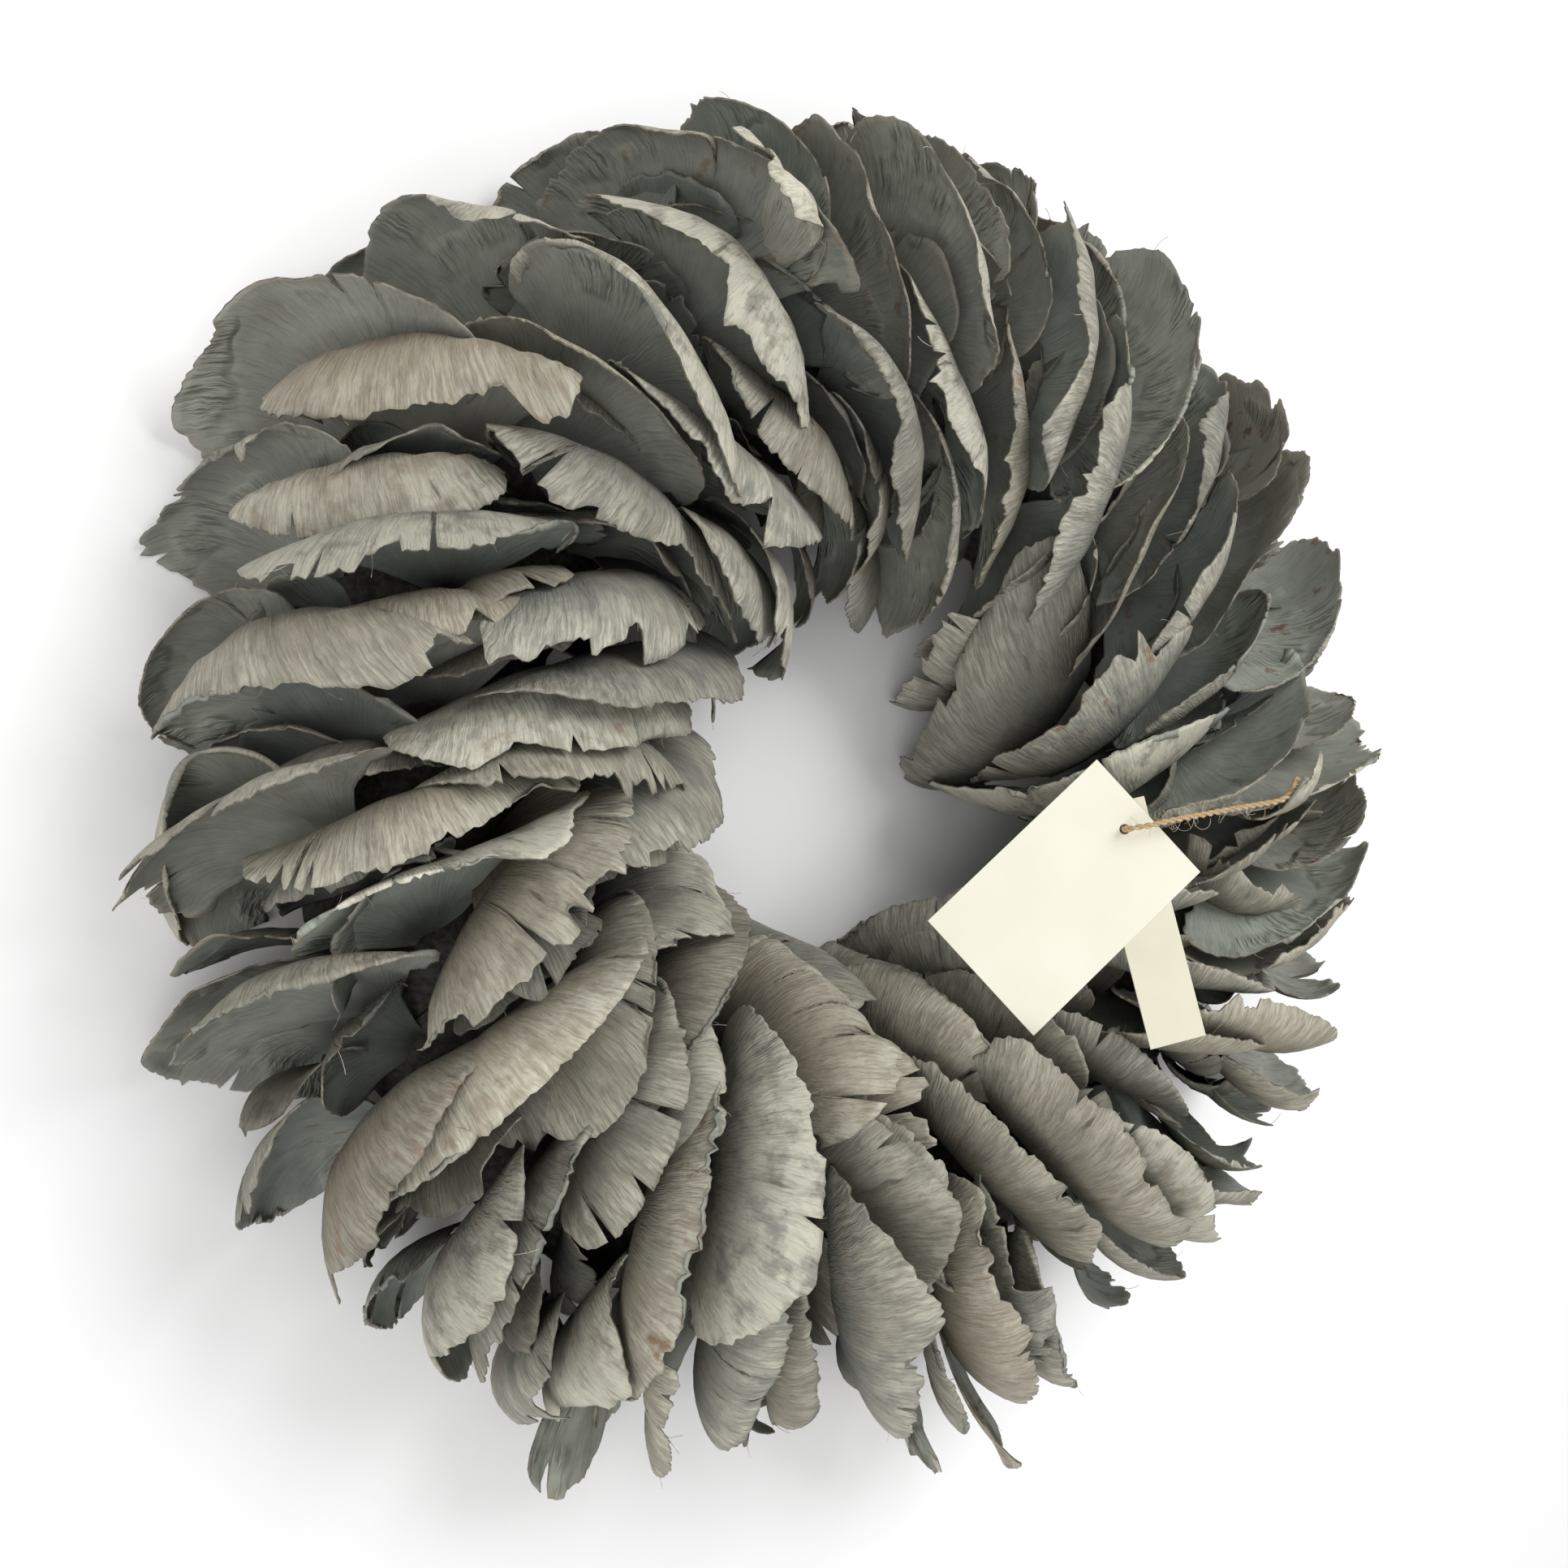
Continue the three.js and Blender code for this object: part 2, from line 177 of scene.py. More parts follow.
def centripetal(points, per_span):
    """A smooth line through the points, spaced as in the solid tube."""
    first, last = 2 * points[0] - points[1], 2 * points[-1] - points[-2]
    ends = [first, *points, last]
    line = []
    for a, b, c, d in zip(ends, ends[1:], ends[2:], ends[3:]):
        t1 = np.linalg.norm(b - a) ** 0.5
        t2 = t1 + np.linalg.norm(c - b) ** 0.5
        t3 = t2 + np.linalg.norm(d - c) ** 0.5
        for step in range(per_span):
            t = t1 + (t2 - t1) * step / per_span
            ab = a + (b - a) * t / t1
            bc = b + (c - b) * (t - t1) / (t2 - t1)
            cd = c + (d - c) * (t - t2) / (t3 - t2)
            abc = ab + (bc - ab) * t / t2
            bcd = bc + (cd - bc) * (t - t1) / (t3 - t1)
            line.append(abc + (bcd - abc) * (t - t1) / (t2 - t1))
    line.append(points[-1])
    return np.array(line)


def along(line, count):
    """The line again, as evenly spaced points, with each one's distance from its start."""
    gone = np.concatenate([[0], np.cumsum(np.linalg.norm(np.diff(line, axis=0), axis=1))])
    want = np.linspace(0, gone[-1], count)
    return np.stack([np.interp(want, gone, line[:, i]) for i in range(3)], 1), want


def side_axes(line):
    """Two axes square to the line at each point, carried along it without twisting."""
    ahead = np.gradient(line, axis=0)
    ahead /= np.linalg.norm(ahead, axis=1)[:, None]
    side = np.cross(ahead[0], (0.3, 0.2, 1))
    sides = []
    for way in ahead:
        side = side - way * side.dot(way)
        side = side / np.linalg.norm(side)
        sides.append(side)
    sides = np.array(sides)
    return sides, np.cross(ahead, sides)


def tube(line, radius, sides, spin=0, offset=0):
    """Vertices, faces and UVs of a round tube with flat ends; offset turns its line into a ply."""
    a, b = side_axes(line)
    turn = np.zeros(len(line)) + spin
    line = line + offset * (a * np.cos(turn)[:, None] + b * np.sin(turn)[:, None])
    vertices, faces, uvs = [], [], []
    for k in range(len(line)):
        for i in range(sides):
            angle = turn[k] + 2 * math.pi * i / sides
            vertices.append(line[k] + radius * (a[k] * math.cos(angle) + b[k] * math.sin(angle)))
    for k in range(len(line) - 1):
        for i in range(sides):
            j = (i + 1) % sides
            faces.append((k * sides + i, k * sides + j, (k + 1) * sides + j, (k + 1) * sides + i))
            uvs.append([(i, k), (i + 1, k), (i + 1, k + 1), (i, k + 1)])
    faces.append(tuple(reversed(range(sides))))
    faces.append(tuple(range((len(line) - 1) * sides, len(line) * sides)))
    uvs += [[(0, 0)] * sides] * 2
    return vertices, faces, uvs


def yarn_piece(name, tubes, material):
    """One piece made of several tubes, with the UVs that the yarn's grain follows."""
    vertices, faces, uvs = [], [], []
    for v, f, u in tubes:
        faces += [tuple(i + len(vertices) for i in face) for face in f]
        vertices += v
        uvs += u
    piece = finish_mesh(name, vertices, faces, [material])
    flat = [c for face in uvs for corner in face for c in corner]
    layer = piece.data.uv_layers.new(name="yarn")
    layer.data.foreach_set("uv", np.array(flat, dtype=np.float32))
    return piece


def node(tree, kind, settings=None, **inputs):
    """A new node with its settings and inputs; i0, i1 and so on give an input by its number."""
    made = tree.nodes.new(kind)
    for key, value in (settings or {}).items():
        setattr(made, key, value)
    for key, value in inputs.items():
        numbered = key[0] == "i" and key[1:].isdigit()
        socket = made.inputs[int(key[1:]) if numbered else key.replace("_", " ")]
        if isinstance(value, bpy.types.NodeSocket):
            tree.links.new(value, socket)
        else:
            socket.default_value = value
    return made


def flecks(tree, scale, detail=2.0, roughness=0.5, vector=None):
    """Noise on the piece's own Object coordinates, or on another vector."""
    if vector is None:
        vector = node(tree, "ShaderNodeTexCoord").outputs["Object"]
    return node(
        tree, "ShaderNodeTexNoise", Vector=vector, Scale=scale, Detail=detail, Roughness=roughness
    ).outputs["Fac"]


def two_tones(tree, value, low, high, dark, light):
    """A colour that goes from dark to light while the value goes from low to high."""
    ramp = node(tree, "ShaderNodeValToRGB", Fac=value)
    for stop, place, colour in zip(ramp.color_ramp.elements, (low, high), (dark, light)):
        stop.position = place
        stop.color = (*colour, 1)
    return ramp.outputs["Color"]


def finish(tree, colour, relief=None, **values):
    """Gives the material's shader its colour, its relief and its plain values."""
    shader = tree.nodes["Principled BSDF"]
    tree.links.new(colour, shader.inputs["Base Color"])
    if relief is not None:
        height, strength, depth = relief
        bump = node(tree, "ShaderNodeBump", Height=height, Strength=strength, Distance=depth)
        tree.links.new(bump.outputs["Normal"], shader.inputs["Normal"])
    for name, value in values.items():
        shader.inputs[name.replace("_", " ")].default_value = value


jute, tree = new_material("jute_yarn")
uv = node(tree, "ShaderNodeUVMap", {"uv_map": "yarn"}).outputs["UV"]
aslant = node(tree, "ShaderNodeMapping", Vector=uv, Rotation=(0, 0, 0.5), Scale=(1.4, 0.16, 1))
grain = flecks(tree, 2.2, 4, vector=aslant.outputs["Vector"])
colour = two_tones(tree, grain, 0.33, 0.68, (0.38, 0.24, 0.105), (0.86, 0.64, 0.36))
finish(tree, colour, (grain, 0.7, 0.0003), Roughness=0.9, Sheen_Weight=0.25)

card_axes = tag_axes(CARD_AIM, 0)
hole_ends = (LABEL_LIFT, PAPER_THICKNESS + TWINE_RADIUS)
route = [np.array(card_axes @ (Vector((0, 0, z)) * MM)) for z in hole_ends]
route += list(in_scene(TWINE_ROUTE))
twine_line, twine_gone = along(centripetal(route, ROUTE_STEPS), TWINE_POINTS)
plies = []
for ply in (0, 1):
    spin = 2 * math.pi * (twine_gone / (TWINE_LAY * MM) + ply / 2)
    offset = PLY_OFFSET * TWINE_RADIUS * MM
    plies.append(tube(twine_line, PLY_RADIUS * TWINE_RADIUS * MM, PLY_SIDES, spin, offset))
twine = yarn_piece("jute_twine", plies, jute)

# The knot under the label: three turns of the same twine, drawn tight. It keeps both tags on the
# twine, and only shows from below.
KNOT_RADIUS = 2.0
KNOT_TURNS = 3
KNOT_TOP = -2.35
KNOT_DEPTH = 2.0
KNOT_STEPS = 36
KNOT_POINTS = 90
KNOT_YARN = 0.8
knot_points = []
for k in range(KNOT_STEPS + 1):
    share = k / KNOT_STEPS
    angle = 2 * math.pi * KNOT_TURNS * share
    swell = KNOT_RADIUS * (0.8 + 0.25 * math.sin(math.pi * share))
    coil = Vector((swell * math.cos(angle), swell * math.sin(angle), KNOT_TOP - KNOT_DEPTH * share))
    knot_points.append(np.array(card_axes @ (coil * MM)))
knot_line, _ = along(np.array(knot_points), KNOT_POINTS)
knot = yarn_piece("twine_knot_turns", [tube(knot_line, KNOT_YARN * MM, 8)], jute)
for piece, solid in ((twine, "twine"), (knot, "twine_knot")):
    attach(piece, "root")
    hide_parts(solid)

# Fuzz on the twine: short broken fibres of the yarn that stand off it all round. Geometry Nodes
# set them out along its line; the same tree makes the loose fibres of the petals further down.
FUZZ_START = 0.8
FIBRE_BOW = {"Start": (0, 0, 0), "Middle": (0.1, 0.05, 0.6), "End": (0.45, 0.0, 1.0)}
FIBRE_SWING = (0.7, 0.7, 3.1)
FIBRE_SIZES = (0.35, 1.5)


def new_tree(name, kind, inputs, output):
    """A node group with named inputs and one output, and the sockets of its input node."""
    tree = bpy.data.node_groups.new(name, kind)
    for label, (sort, value) in inputs.items():
        socket = tree.interface.new_socket(label, in_out="INPUT", socket_type="NodeSocket" + sort)
        if value is not None:
            socket.default_value = value
    label, sort = output
    tree.interface.new_socket(label, in_out="OUTPUT", socket_type="NodeSocket" + sort)
    return tree, tree.nodes.new("NodeGroupInput").outputs


def give_out(tree, result):
    tree.links.new(result, tree.nodes.new("NodeGroupOutput").inputs[0])


def dress(tree, shape, material):
    """Ends a Geometry Nodes tree: its instances are made real and get their material."""
    real = node(tree, "GeometryNodeRealizeInstances", Geometry=shape)
    dressed = node(tree, "GeometryNodeSetMaterial", Geometry=real.outputs[0], Material=material)
    give_out(tree, dressed.outputs[0])


def chance(tree, kind, **limits):
    return node(tree, "FunctionNodeRandomValue", {"data_type": kind}, **limits).outputs


def apply_tree(name, tree, base, values):
    """Runs a Geometry Nodes tree on a base mesh and keeps its result as a plain mesh."""
    holder = put_in_scene(name + "_maker", base)
    modifier = holder.modifiers.new("maker", "NODES")
    modifier.node_group = tree
    for item in tree.interface.items_tree:
        if item.item_type == "SOCKET" and item.in_out == "INPUT" and item.name in values:
            modifier[item.identifier] = values[item.name]
    shown = holder.evaluated_get(bpy.context.evaluated_depsgraph_get())
    mesh = bpy.data.meshes.new_from_object(shown)
    mesh.name = name
    bpy.data.objects.remove(holder)
    mesh.polygons.foreach_set("use_smooth", [True] * len(mesh.polygons))
    return put_in_scene(name, mesh)


stray, given = new_tree(
    "stray fibres",
    "GeometryNodeTree",
    {
        "Geometry": ("Geometry", None),
        "Share": ("Float", 0.05),
        "Length": ("Float", 0.006),
        "Thickness": ("Float", 0.0001),
        "Seed": ("Int", 3),
        "Thread": ("Material", None),
    },
    ("Geometry", "Geometry"),
)
seed_in = given["Seed"]
picked = chance(stray, "BOOLEAN", Probability=given["Share"], Seed=seed_in)[3]
spots = node(
    stray, "GeometryNodeMeshToPoints", Mesh=given["Geometry"], Selection=picked, Radius=MM
)
bow = node(stray, "GeometryNodeCurveQuadraticBezier", Resolution=5, **FIBRE_BOW)
sized = node(stray, "GeometryNodeTransform", Geometry=bow.outputs[0], Scale=given["Length"])
section = node(
    stray, "GeometryNodeCurvePrimitiveCircle", Resolution=3, Radius=given["Thickness"]
).outputs[0]
hair = node(
    stray, "GeometryNodeCurveToMesh", Curve=sized.outputs[0], Profile_Curve=section, Fill_Caps=True
)
away = node(stray, "GeometryNodeInputNamedAttribute", {"data_type": "FLOAT_VECTOR"}, Name="away")
lean = node(stray, "FunctionNodeAlignRotationToVector", {"axis": "Z"}, Vector=away.outputs[0])
low_swing = tuple(-s for s in FIBRE_SWING)
swing = chance(stray, "FLOAT_VECTOR", i0=low_swing, i1=FIBRE_SWING, Seed=seed_in)[0]
way = node(
    stray,
    "FunctionNodeRotateRotation",
    {"rotation_space": "LOCAL"},
    Rotation=lean.outputs[0],
    Rotate_By=node(stray, "FunctionNodeEulerToRotation", Euler=swing).outputs[0],
)
scattered = node(
    stray,
    "GeometryNodeInstanceOnPoints",
    Points=spots.outputs[0],
    Instance=hair.outputs[0],
    Rotation=way.outputs[0],
    Scale=chance(stray, "FLOAT", i2=FIBRE_SIZES[0], i3=FIBRE_SIZES[1], Seed=11)[1],
)
dress(stray, scattered.outputs[0], given["Thread"])


def strand_base(name, places, ways):
    """A mesh of loose points that carry the way in which a strand leaves each of them."""
    mesh = bpy.data.meshes.new(name)
    mesh.from_pydata([tuple(p) for p in places], [], [])
    store = mesh.attributes.new("away", "FLOAT_VECTOR", "POINT")
    store.data.foreach_set("vector", np.asarray(ways, dtype=np.float32).reshape(-1))
    return mesh


a, b = side_axes(twine_line)
turns = np.random.RandomState(9).uniform(0, 2 * math.pi, len(twine_line))[:, None]
ways = a * np.cos(turns) + b * np.sin(turns)
twine_fuzz = apply_tree(
    "twine_fuzz",
    stray,
    strand_base("twine_points", twine_line + ways * FUZZ_START * TWINE_RADIUS * MM, ways),
    {"Share": 0.45, "Length": 2.6 * MM, "Thickness": 0.05 * MM, "Seed": 8, "Thread": jute},
)

# Longer fibres have worked loose beside the label, and curl there in loops. Single fibres are
# paler than the twisted yarn.
CURLS = 34
CURL_RADII = (1.0, 3.6)
CURL_TURN = (1.5, 6.5)
CURL_BETWEEN = (24, 84)
CURL_POINTS = 20
CURL_YARN = 0.06
jute_fibre, tree = new_material("jute_fibre")
colour = two_tones(tree, flecks(tree, 300), 0.3, 0.7, (0.48, 0.40, 0.27), (0.88, 0.80, 0.64))
finish(tree, colour, Roughness=0.6)
curl_dice = np.random.RandomState(21)
curls = []
for _ in range(CURLS):
    start = twine_line[curl_dice.randint(*CURL_BETWEEN)]
    first, second, third = curl_dice.normal(0, 1, (3, 3))
    first /= np.linalg.norm(first)
    second = np.cross(first, second)
    second /= np.linalg.norm(second)
    angles = np.linspace(0, curl_dice.uniform(*CURL_TURN), CURL_POINTS)[:, None]
    wide = curl_dice.uniform(*CURL_RADII) * MM
    drift = third / np.linalg.norm(third) * angles * 0.5 * MM
    line = start + wide * (first * (np.cos(angles) - 1) + second * np.sin(angles)) + drift
    curls.append(tube(line, CURL_YARN * MM, 3))
twine_curls = yarn_piece("twine_curls", curls, jute_fibre)
for piece in (twine_fuzz, twine_curls):
    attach(piece, "root")

# Two bare hang tags of uncoated card: a business card and a narrow label, with punched holes.
# They share the twine's hole, and the card lies over the label.
HOLE_RADIUS = 1.9
HOLE_SIDES = 40
CUT_EDGE = 0.08


def card_stock(name, dark, light):
    paper, tree = new_material(name)
    colour = two_tones(tree, flecks(tree, 40), 0.3, 0.7, dark, light)
    finish(tree, colour, (flecks(tree, 900, 5), 0.25, 0.00015), Roughness=0.75)
    return paper


def hang_tag(name, solid, paper, length, width, hole_in, aside, aim, lift):
    """A bare tag with its hole hole_in from one end and aside from its middle line."""
    sheet = bmesh.new()
    near, far = -hole_in, length - hole_in
    low, high = aside - width / 2, aside + width / 2
    corners = [(near, low), (far, low), (far, high), (near, high)]
    turns = [2 * math.pi * k / HOLE_SIDES for k in range(HOLE_SIDES)]
    circle = [(HOLE_RADIUS * math.cos(a), HOLE_RADIUS * math.sin(a)) for a in turns]
    edges = []
    for outline in (corners, circle):
        loop = [sheet.verts.new((x, y, 0)) for x, y in outline]
        edges += [sheet.edges.new((loop[k - 1], loop[k])) for k in range(len(loop))]
    filled = bmesh.ops.triangle_fill(sheet, edges=edges, use_beauty=True)
    faces = [g for g in filled["geom"] if isinstance(g, bmesh.types.BMFace)]
    bmesh.ops.recalc_face_normals(sheet, faces=faces)
    raised = bmesh.ops.extrude_face_region(sheet, geom=faces)
    moved = [g for g in raised["geom"] if isinstance(g, bmesh.types.BMVert)]
    bmesh.ops.translate(sheet, verts=moved, vec=(0, 0, PAPER_THICKNESS))
    bmesh.ops.recalc_face_normals(sheet, faces=sheet.faces)
    mesh = bpy.data.meshes.new(name)
    sheet.to_mesh(mesh)
    sheet.free()
    mesh.transform(tag_axes(aim, lift) @ Matrix.Scale(MM, 4))
    mesh.materials.append(paper)
    tag = put_in_scene(name, mesh)
    soften = tag.modifiers.new("cut edge", "BEVEL")
    soften.width = CUT_EDGE * MM
    soften.segments = 2
    soften.limit_method = "ANGLE"
    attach(tag, "root")
    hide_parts(solid)


card_paper = card_stock("uncoated_card", (0.775, 0.75, 0.625), (0.81, 0.785, 0.665))
label_paper = card_stock("label_card", (0.66, 0.63, 0.49), (0.71, 0.68, 0.54))
hang_tag("hang_card", "tag_card", card_paper, 85, 55, 10, 2.5, CARD_AIM, 0)
hang_tag("hang_label", "tag_label", label_paper, 88, 21, 10, 0, LABEL_AIM, LABEL_LIFT)

# The ring under the petals: a bundle of straw, pressed flat where it lies, bound with thin twine.
# Geometry Nodes lay the stalks side by side round the bundle. A plain heart closes it inside.
RING_RADIUS = 158
STRAW_RADIUS = 30
AXIS_HEIGHT = 27
STALKS = 64
STALK_RADIUS = 1.6
STALK_STEPS = 62
STALK_SWAY = 6
STALK_LOWEST = 1.7

straw, tree = new_material("dry_straw")
grain = flecks(tree, 260, 4)
colour = two_tones(tree, grain, 0.3, 0.7, (0.20, 0.13, 0.055), (0.58, 0.43, 0.21))
finish(tree, colour, (grain, 0.4, 0.0004), Roughness=0.6)


def sums(tree, operation, a, b=None):
    values = {"i0": a} if b is None else {"i0": a, "i1": b}
    return node(tree, "ShaderNodeMath", {"operation": operation}, **values).outputs[0]


def times(tree, *values):
    product = values[0]
    for value in values[1:]:
        product = sums(tree, "MULTIPLY", product, value)
    return product


def vector_of(tree, **parts):
    return node(tree, "ShaderNodeCombineXYZ", **parts).outputs[0]


def vector_sums(tree, operation, **values):
    return node(tree, "ShaderNodeVectorMath", {"operation": operation}, **values).outputs[0]


stalks, given = new_tree(
    "straw stalks",
    "GeometryNodeTree",
    {
        "Geometry": ("Geometry", None),
        "Count": ("Int", STALKS),
        "Ring Radius": ("Float", RING_RADIUS * MM),
        "Bundle Radius": ("Float", STRAW_RADIUS * MM),
        "Height": ("Float", AXIS_HEIGHT * MM),
        "Stalk Radius": ("Float", STALK_RADIUS * MM),
        "Straw": ("Material", None),
    },
    ("Geometry", "Geometry"),
)
line = node(stalks, "GeometryNodeMeshLine", Count=given["Count"])
index = node(stalks, "GeometryNodeInputIndex").outputs[0]
angle = sums(stalks, "DIVIDE", times(stalks, index, 2 * math.pi), given["Count"])
bundle = times(stalks, given["Bundle Radius"], chance(stalks, "FLOAT", i2=0.94, i3=1.0, Seed=4)[1])
wide = times(stalks, bundle, sums(stalks, "COSINE", angle))
wide = sums(stalks, "ADD", given["Ring Radius"], wide)
high = sums(stalks, "ADD", given["Height"], times(stalks, bundle, sums(stalks, "SINE", angle)))
rings = node(
    stalks,
    "GeometryNodeInstanceOnPoints",
    Points=node(
        stalks,
        "GeometryNodeSetPosition",
        Geometry=line.outputs[0],
        Position=vector_of(stalks, Z=high),
    ).outputs[0],
    Instance=node(
        stalks, "GeometryNodeCurvePrimitiveCircle", Resolution=STALK_STEPS, Radius=1.0
    ).outputs[0],
    Scale=vector_of(stalks, X=wide, Y=wide, Z=1.0),
)
real = node(stalks, "GeometryNodeRealizeInstances", Geometry=rings.outputs[0]).outputs[0]
noise = node(stalks, "ShaderNodeTexNoise", Scale=22.0, Detail=1.0).outputs["Color"]
sway = vector_sums(stalks, "SUBTRACT", i0=noise, i1=(0.5, 0.5, 0.5))
sway = vector_sums(stalks, "SCALE", i0=sway, Scale=STALK_SWAY * MM)
bent = node(stalks, "GeometryNodeSetPosition", Geometry=real, Offset=sway).outputs[0]
spot = node(stalks, "GeometryNodeInputPosition").outputs[0]
parts = node(stalks, "ShaderNodeSeparateXYZ", Vector=spot).outputs
flat = sums(stalks, "MAXIMUM", parts["Z"], STALK_LOWEST * MM)
pressed = vector_of(stalks, X=parts["X"], Y=parts["Y"], Z=flat)
laid = node(stalks, "GeometryNodeSetPosition", Geometry=bent, Position=pressed).outputs[0]
section = node(
    stalks, "GeometryNodeCurvePrimitiveCircle", Resolution=6, Radius=given["Stalk Radius"]
).outputs[0]
body = node(stalks, "GeometryNodeCurveToMesh", Curve=laid, Profile_Curve=section).outputs[0]
dress(stalks, body, given["Straw"])

straw_ring = apply_tree(
    "straw_ring",
    stalks,
    bpy.data.meshes.new("straw_base"),
    {
        "Count": STALKS,
        "Ring Radius": RING_RADIUS * MM,
        "Bundle Radius": (STRAW_RADIUS - 2) * MM,
        "Height": AXIS_HEIGHT * MM,
        "Stalk Radius": STALK_RADIUS * MM,
        "Straw": straw,
    },
)
straw_ring.data.transform(Matrix.Translation(MIDDLE))

HEART_RADIUS = STRAW_RADIUS - 2.6
HEART_SIDES = 40
HEART_STEPS = 120
HEART_LOWEST = 1.0


def on_bundle(radius, angle, turn, lowest):
    """A point of the round bundle, pressed flat at the bottom."""
    wide = RING_RADIUS + radius * math.cos(angle)
    high = max(AXIS_HEIGHT + radius * math.sin(angle), lowest)
    return wide * math.cos(turn), wide * math.sin(turn), high


points, faces = [], []
for k in range(HEART_STEPS):
    here, ahead = k * HEART_SIDES, (k + 1) % HEART_STEPS * HEART_SIDES
    for i in range(HEART_SIDES):
        j = (i + 1) % HEART_SIDES
        angle, turn = 2 * math.pi * i / HEART_SIDES, 2 * math.pi * k / HEART_STEPS
        points.append(on_bundle(HEART_RADIUS, angle, turn, HEART_LOWEST))
        faces.append((here + i, ahead + i, ahead + j, here + j))
straw_heart = finish_mesh("straw_heart", in_scene(points), faces, [straw])

# The binding: thin twine wound round the bundle at even steps, each turn a little aslant. It
# holds the stalks together under the bed of roots.
BINDINGS = 22
BINDING_RADIUS = 0.55
BINDING_STEPS = 48
BINDING_SLANT = 0.16
windings = []
for k in range(BINDINGS):
    points = []
    for i in range(BINDING_STEPS + 1):
        angle = 2 * math.pi * i / BINDING_STEPS
        turn = 2 * math.pi * (k + BINDING_SLANT * i / BINDING_STEPS) / BINDINGS
        points.append(on_bundle(STRAW_RADIUS - 0.1, angle, turn, BINDING_RADIUS + 0.05))
    windings.append(tube(in_scene(points), BINDING_RADIUS * MM, 6))
binding = yarn_piece("straw_binding", windings, jute)
for piece in (straw_ring, straw_heart, binding):
    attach(piece, "root")
    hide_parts("ring_base")

# The petals: dried palm sheaths, washed grey, cut as fans and glued in overlapping rows. Each has
# a narrow root, leans back, and curls over forward at a cracked and scalloped margin. A lane says
# how far up the bundle a petal stands, in which share of the rows, and how large it is.
ROWS = 27
ROW_PITCH = 2 * math.pi / ROWS
ROW_SLANT = -0.3
SLANT_ZERO = math.radians(5)
LANES = [
    (5, 1, 1.0),
    (40, 1, 1.04),
    (75, 1, 1.06),
    (111, 1, 1.05),
    (148, 0.68, 1.13),
    (180, 0.4, 1.15),
]
PETAL_LENGTH = 77
FULLEST = 0.07
PETAL_TWIST = 22
ROW_STRAY = 0.2
CLIMB_STRAY = 7
LENGTH_RANGE = (0.84, 1.12)
PETAL_RANGES = {
    "spread": (48, 60),
    "lean": (-60, -32),
    "curl": (95, 155),
    "power": (1.8, 3),
    "lopside": (-0.3, 0.3),
    "cup": (1, 14),
    "droop": (95, 220),
    "skew": (-0.13, 0.13),
    "twist": (-13, 13),
    "roll": (-12, 12),
    "wave": (0, 4),
    "phase": (0, 2 * math.pi),
}
ROOT_RADIUS = 32.5
BED_OUTER = 39
FIRST_SEED = 71993
SEED_STEP = 7919
RETRY_STEP = 104729
TRIES = 30
WARM_UP = 5
RANDOM_FACTOR = 16807
RANDOM_PRIME = 2147483647
CUP_WIDTH = 45
SIDE_GROWTH = 0.02
SIDE_FALL = 0.28
WAVE_RATE = 4.2
LIP_START = 0.72
LIP_BAND = 0.28
LIP_MOST = 1.2
LIP_EASE = 1.5
CREASE_START = 0.60
CREASE_BAND = 0.07
GROUND_BEND = 8
GROUND_CLEAR = 1.5
TOOTH = 0.035
MARGIN_POINTS = 9
ON_SOLID = 0.4
seed = FIRST_SEED


def draw(low, high):
    """The next number of the same random row as in the solids, between two limits."""
    global seed
    seed = seed * RANDOM_FACTOR % RANDOM_PRIME
    return low + (high - low) * seed / RANDOM_PRIME


def row_turn(row, climb):
    """The angle on the ring of a row at a climb, because the rows run aslant over the bundle."""
    return ROW_PITCH * (row + ROW_SLANT * (climb - SLANT_ZERO))


def draw_petal(row, lane_number, attempt):
    global seed
    climb_angle, _, size = LANES[lane_number]
    seed = FIRST_SEED + SEED_STEP * (row * len(LANES) + lane_number) + RETRY_STEP * attempt
    for _ in range(WARM_UP):
        draw(0, 1)
    offset = draw(-ROW_STRAY, ROW_STRAY)
    climb = math.radians(climb_angle + draw(-CLIMB_STRAY, CLIMB_STRAY))
    fullness = 1 + FULLEST * math.cos(row * ROW_PITCH) ** 2
    length = PETAL_LENGTH * size * fullness * draw(*LENGTH_RANGE)
    habit = {name: draw(*limits) for name, limits in PETAL_RANGES.items()}
    habit["twist"] += PETAL_TWIST
    return set_petal(row_turn(row, climb) + offset * ROW_PITCH, climb, length, habit)


def set_petal(turn, climb, length, habit):
    """A petal with its root on the bed and its own three axes. The habit's angles are degrees."""
    petal = {"turn": turn, "length": length, **habit}
    for name in ("spread", "lean", "curl", "twist", "roll"):
        petal[name] = math.radians(petal[name])
    twist, roll = petal["twist"], petal["roll"]
    out, along_ring, over, centre = tube_axes(turn, climb)
    side = over * math.cos(twist) - along_ring * math.sin(twist)
    petal["forward"] = along_ring * math.cos(twist) + over * math.sin(twist)
    petal["rise"] = out * math.cos(roll) + side * math.sin(roll)
    petal["across"] = side * math.cos(roll) - out * math.sin(roll)
    reach = (BED_OUTER - ROOT_RADIUS) * math.tan(-petal["lean"])
    petal["root"] = centre + out * ROOT_RADIUS + petal["forward"] * reach
    return petal


def tube_axes(turn, climb):
    outward = np.array((math.cos(turn), math.sin(turn), 0))
    up = np.array((0, 0, 1.0))
    out = outward * math.cos(climb) + up * math.sin(climb)
    over = up * math.cos(climb) - outward * math.sin(climb)
    along_ring = np.array((-math.sin(turn), math.cos(turn), 0))
    return out, along_ring, over, outward * RING_RADIUS + up * AXIS_HEIGHT


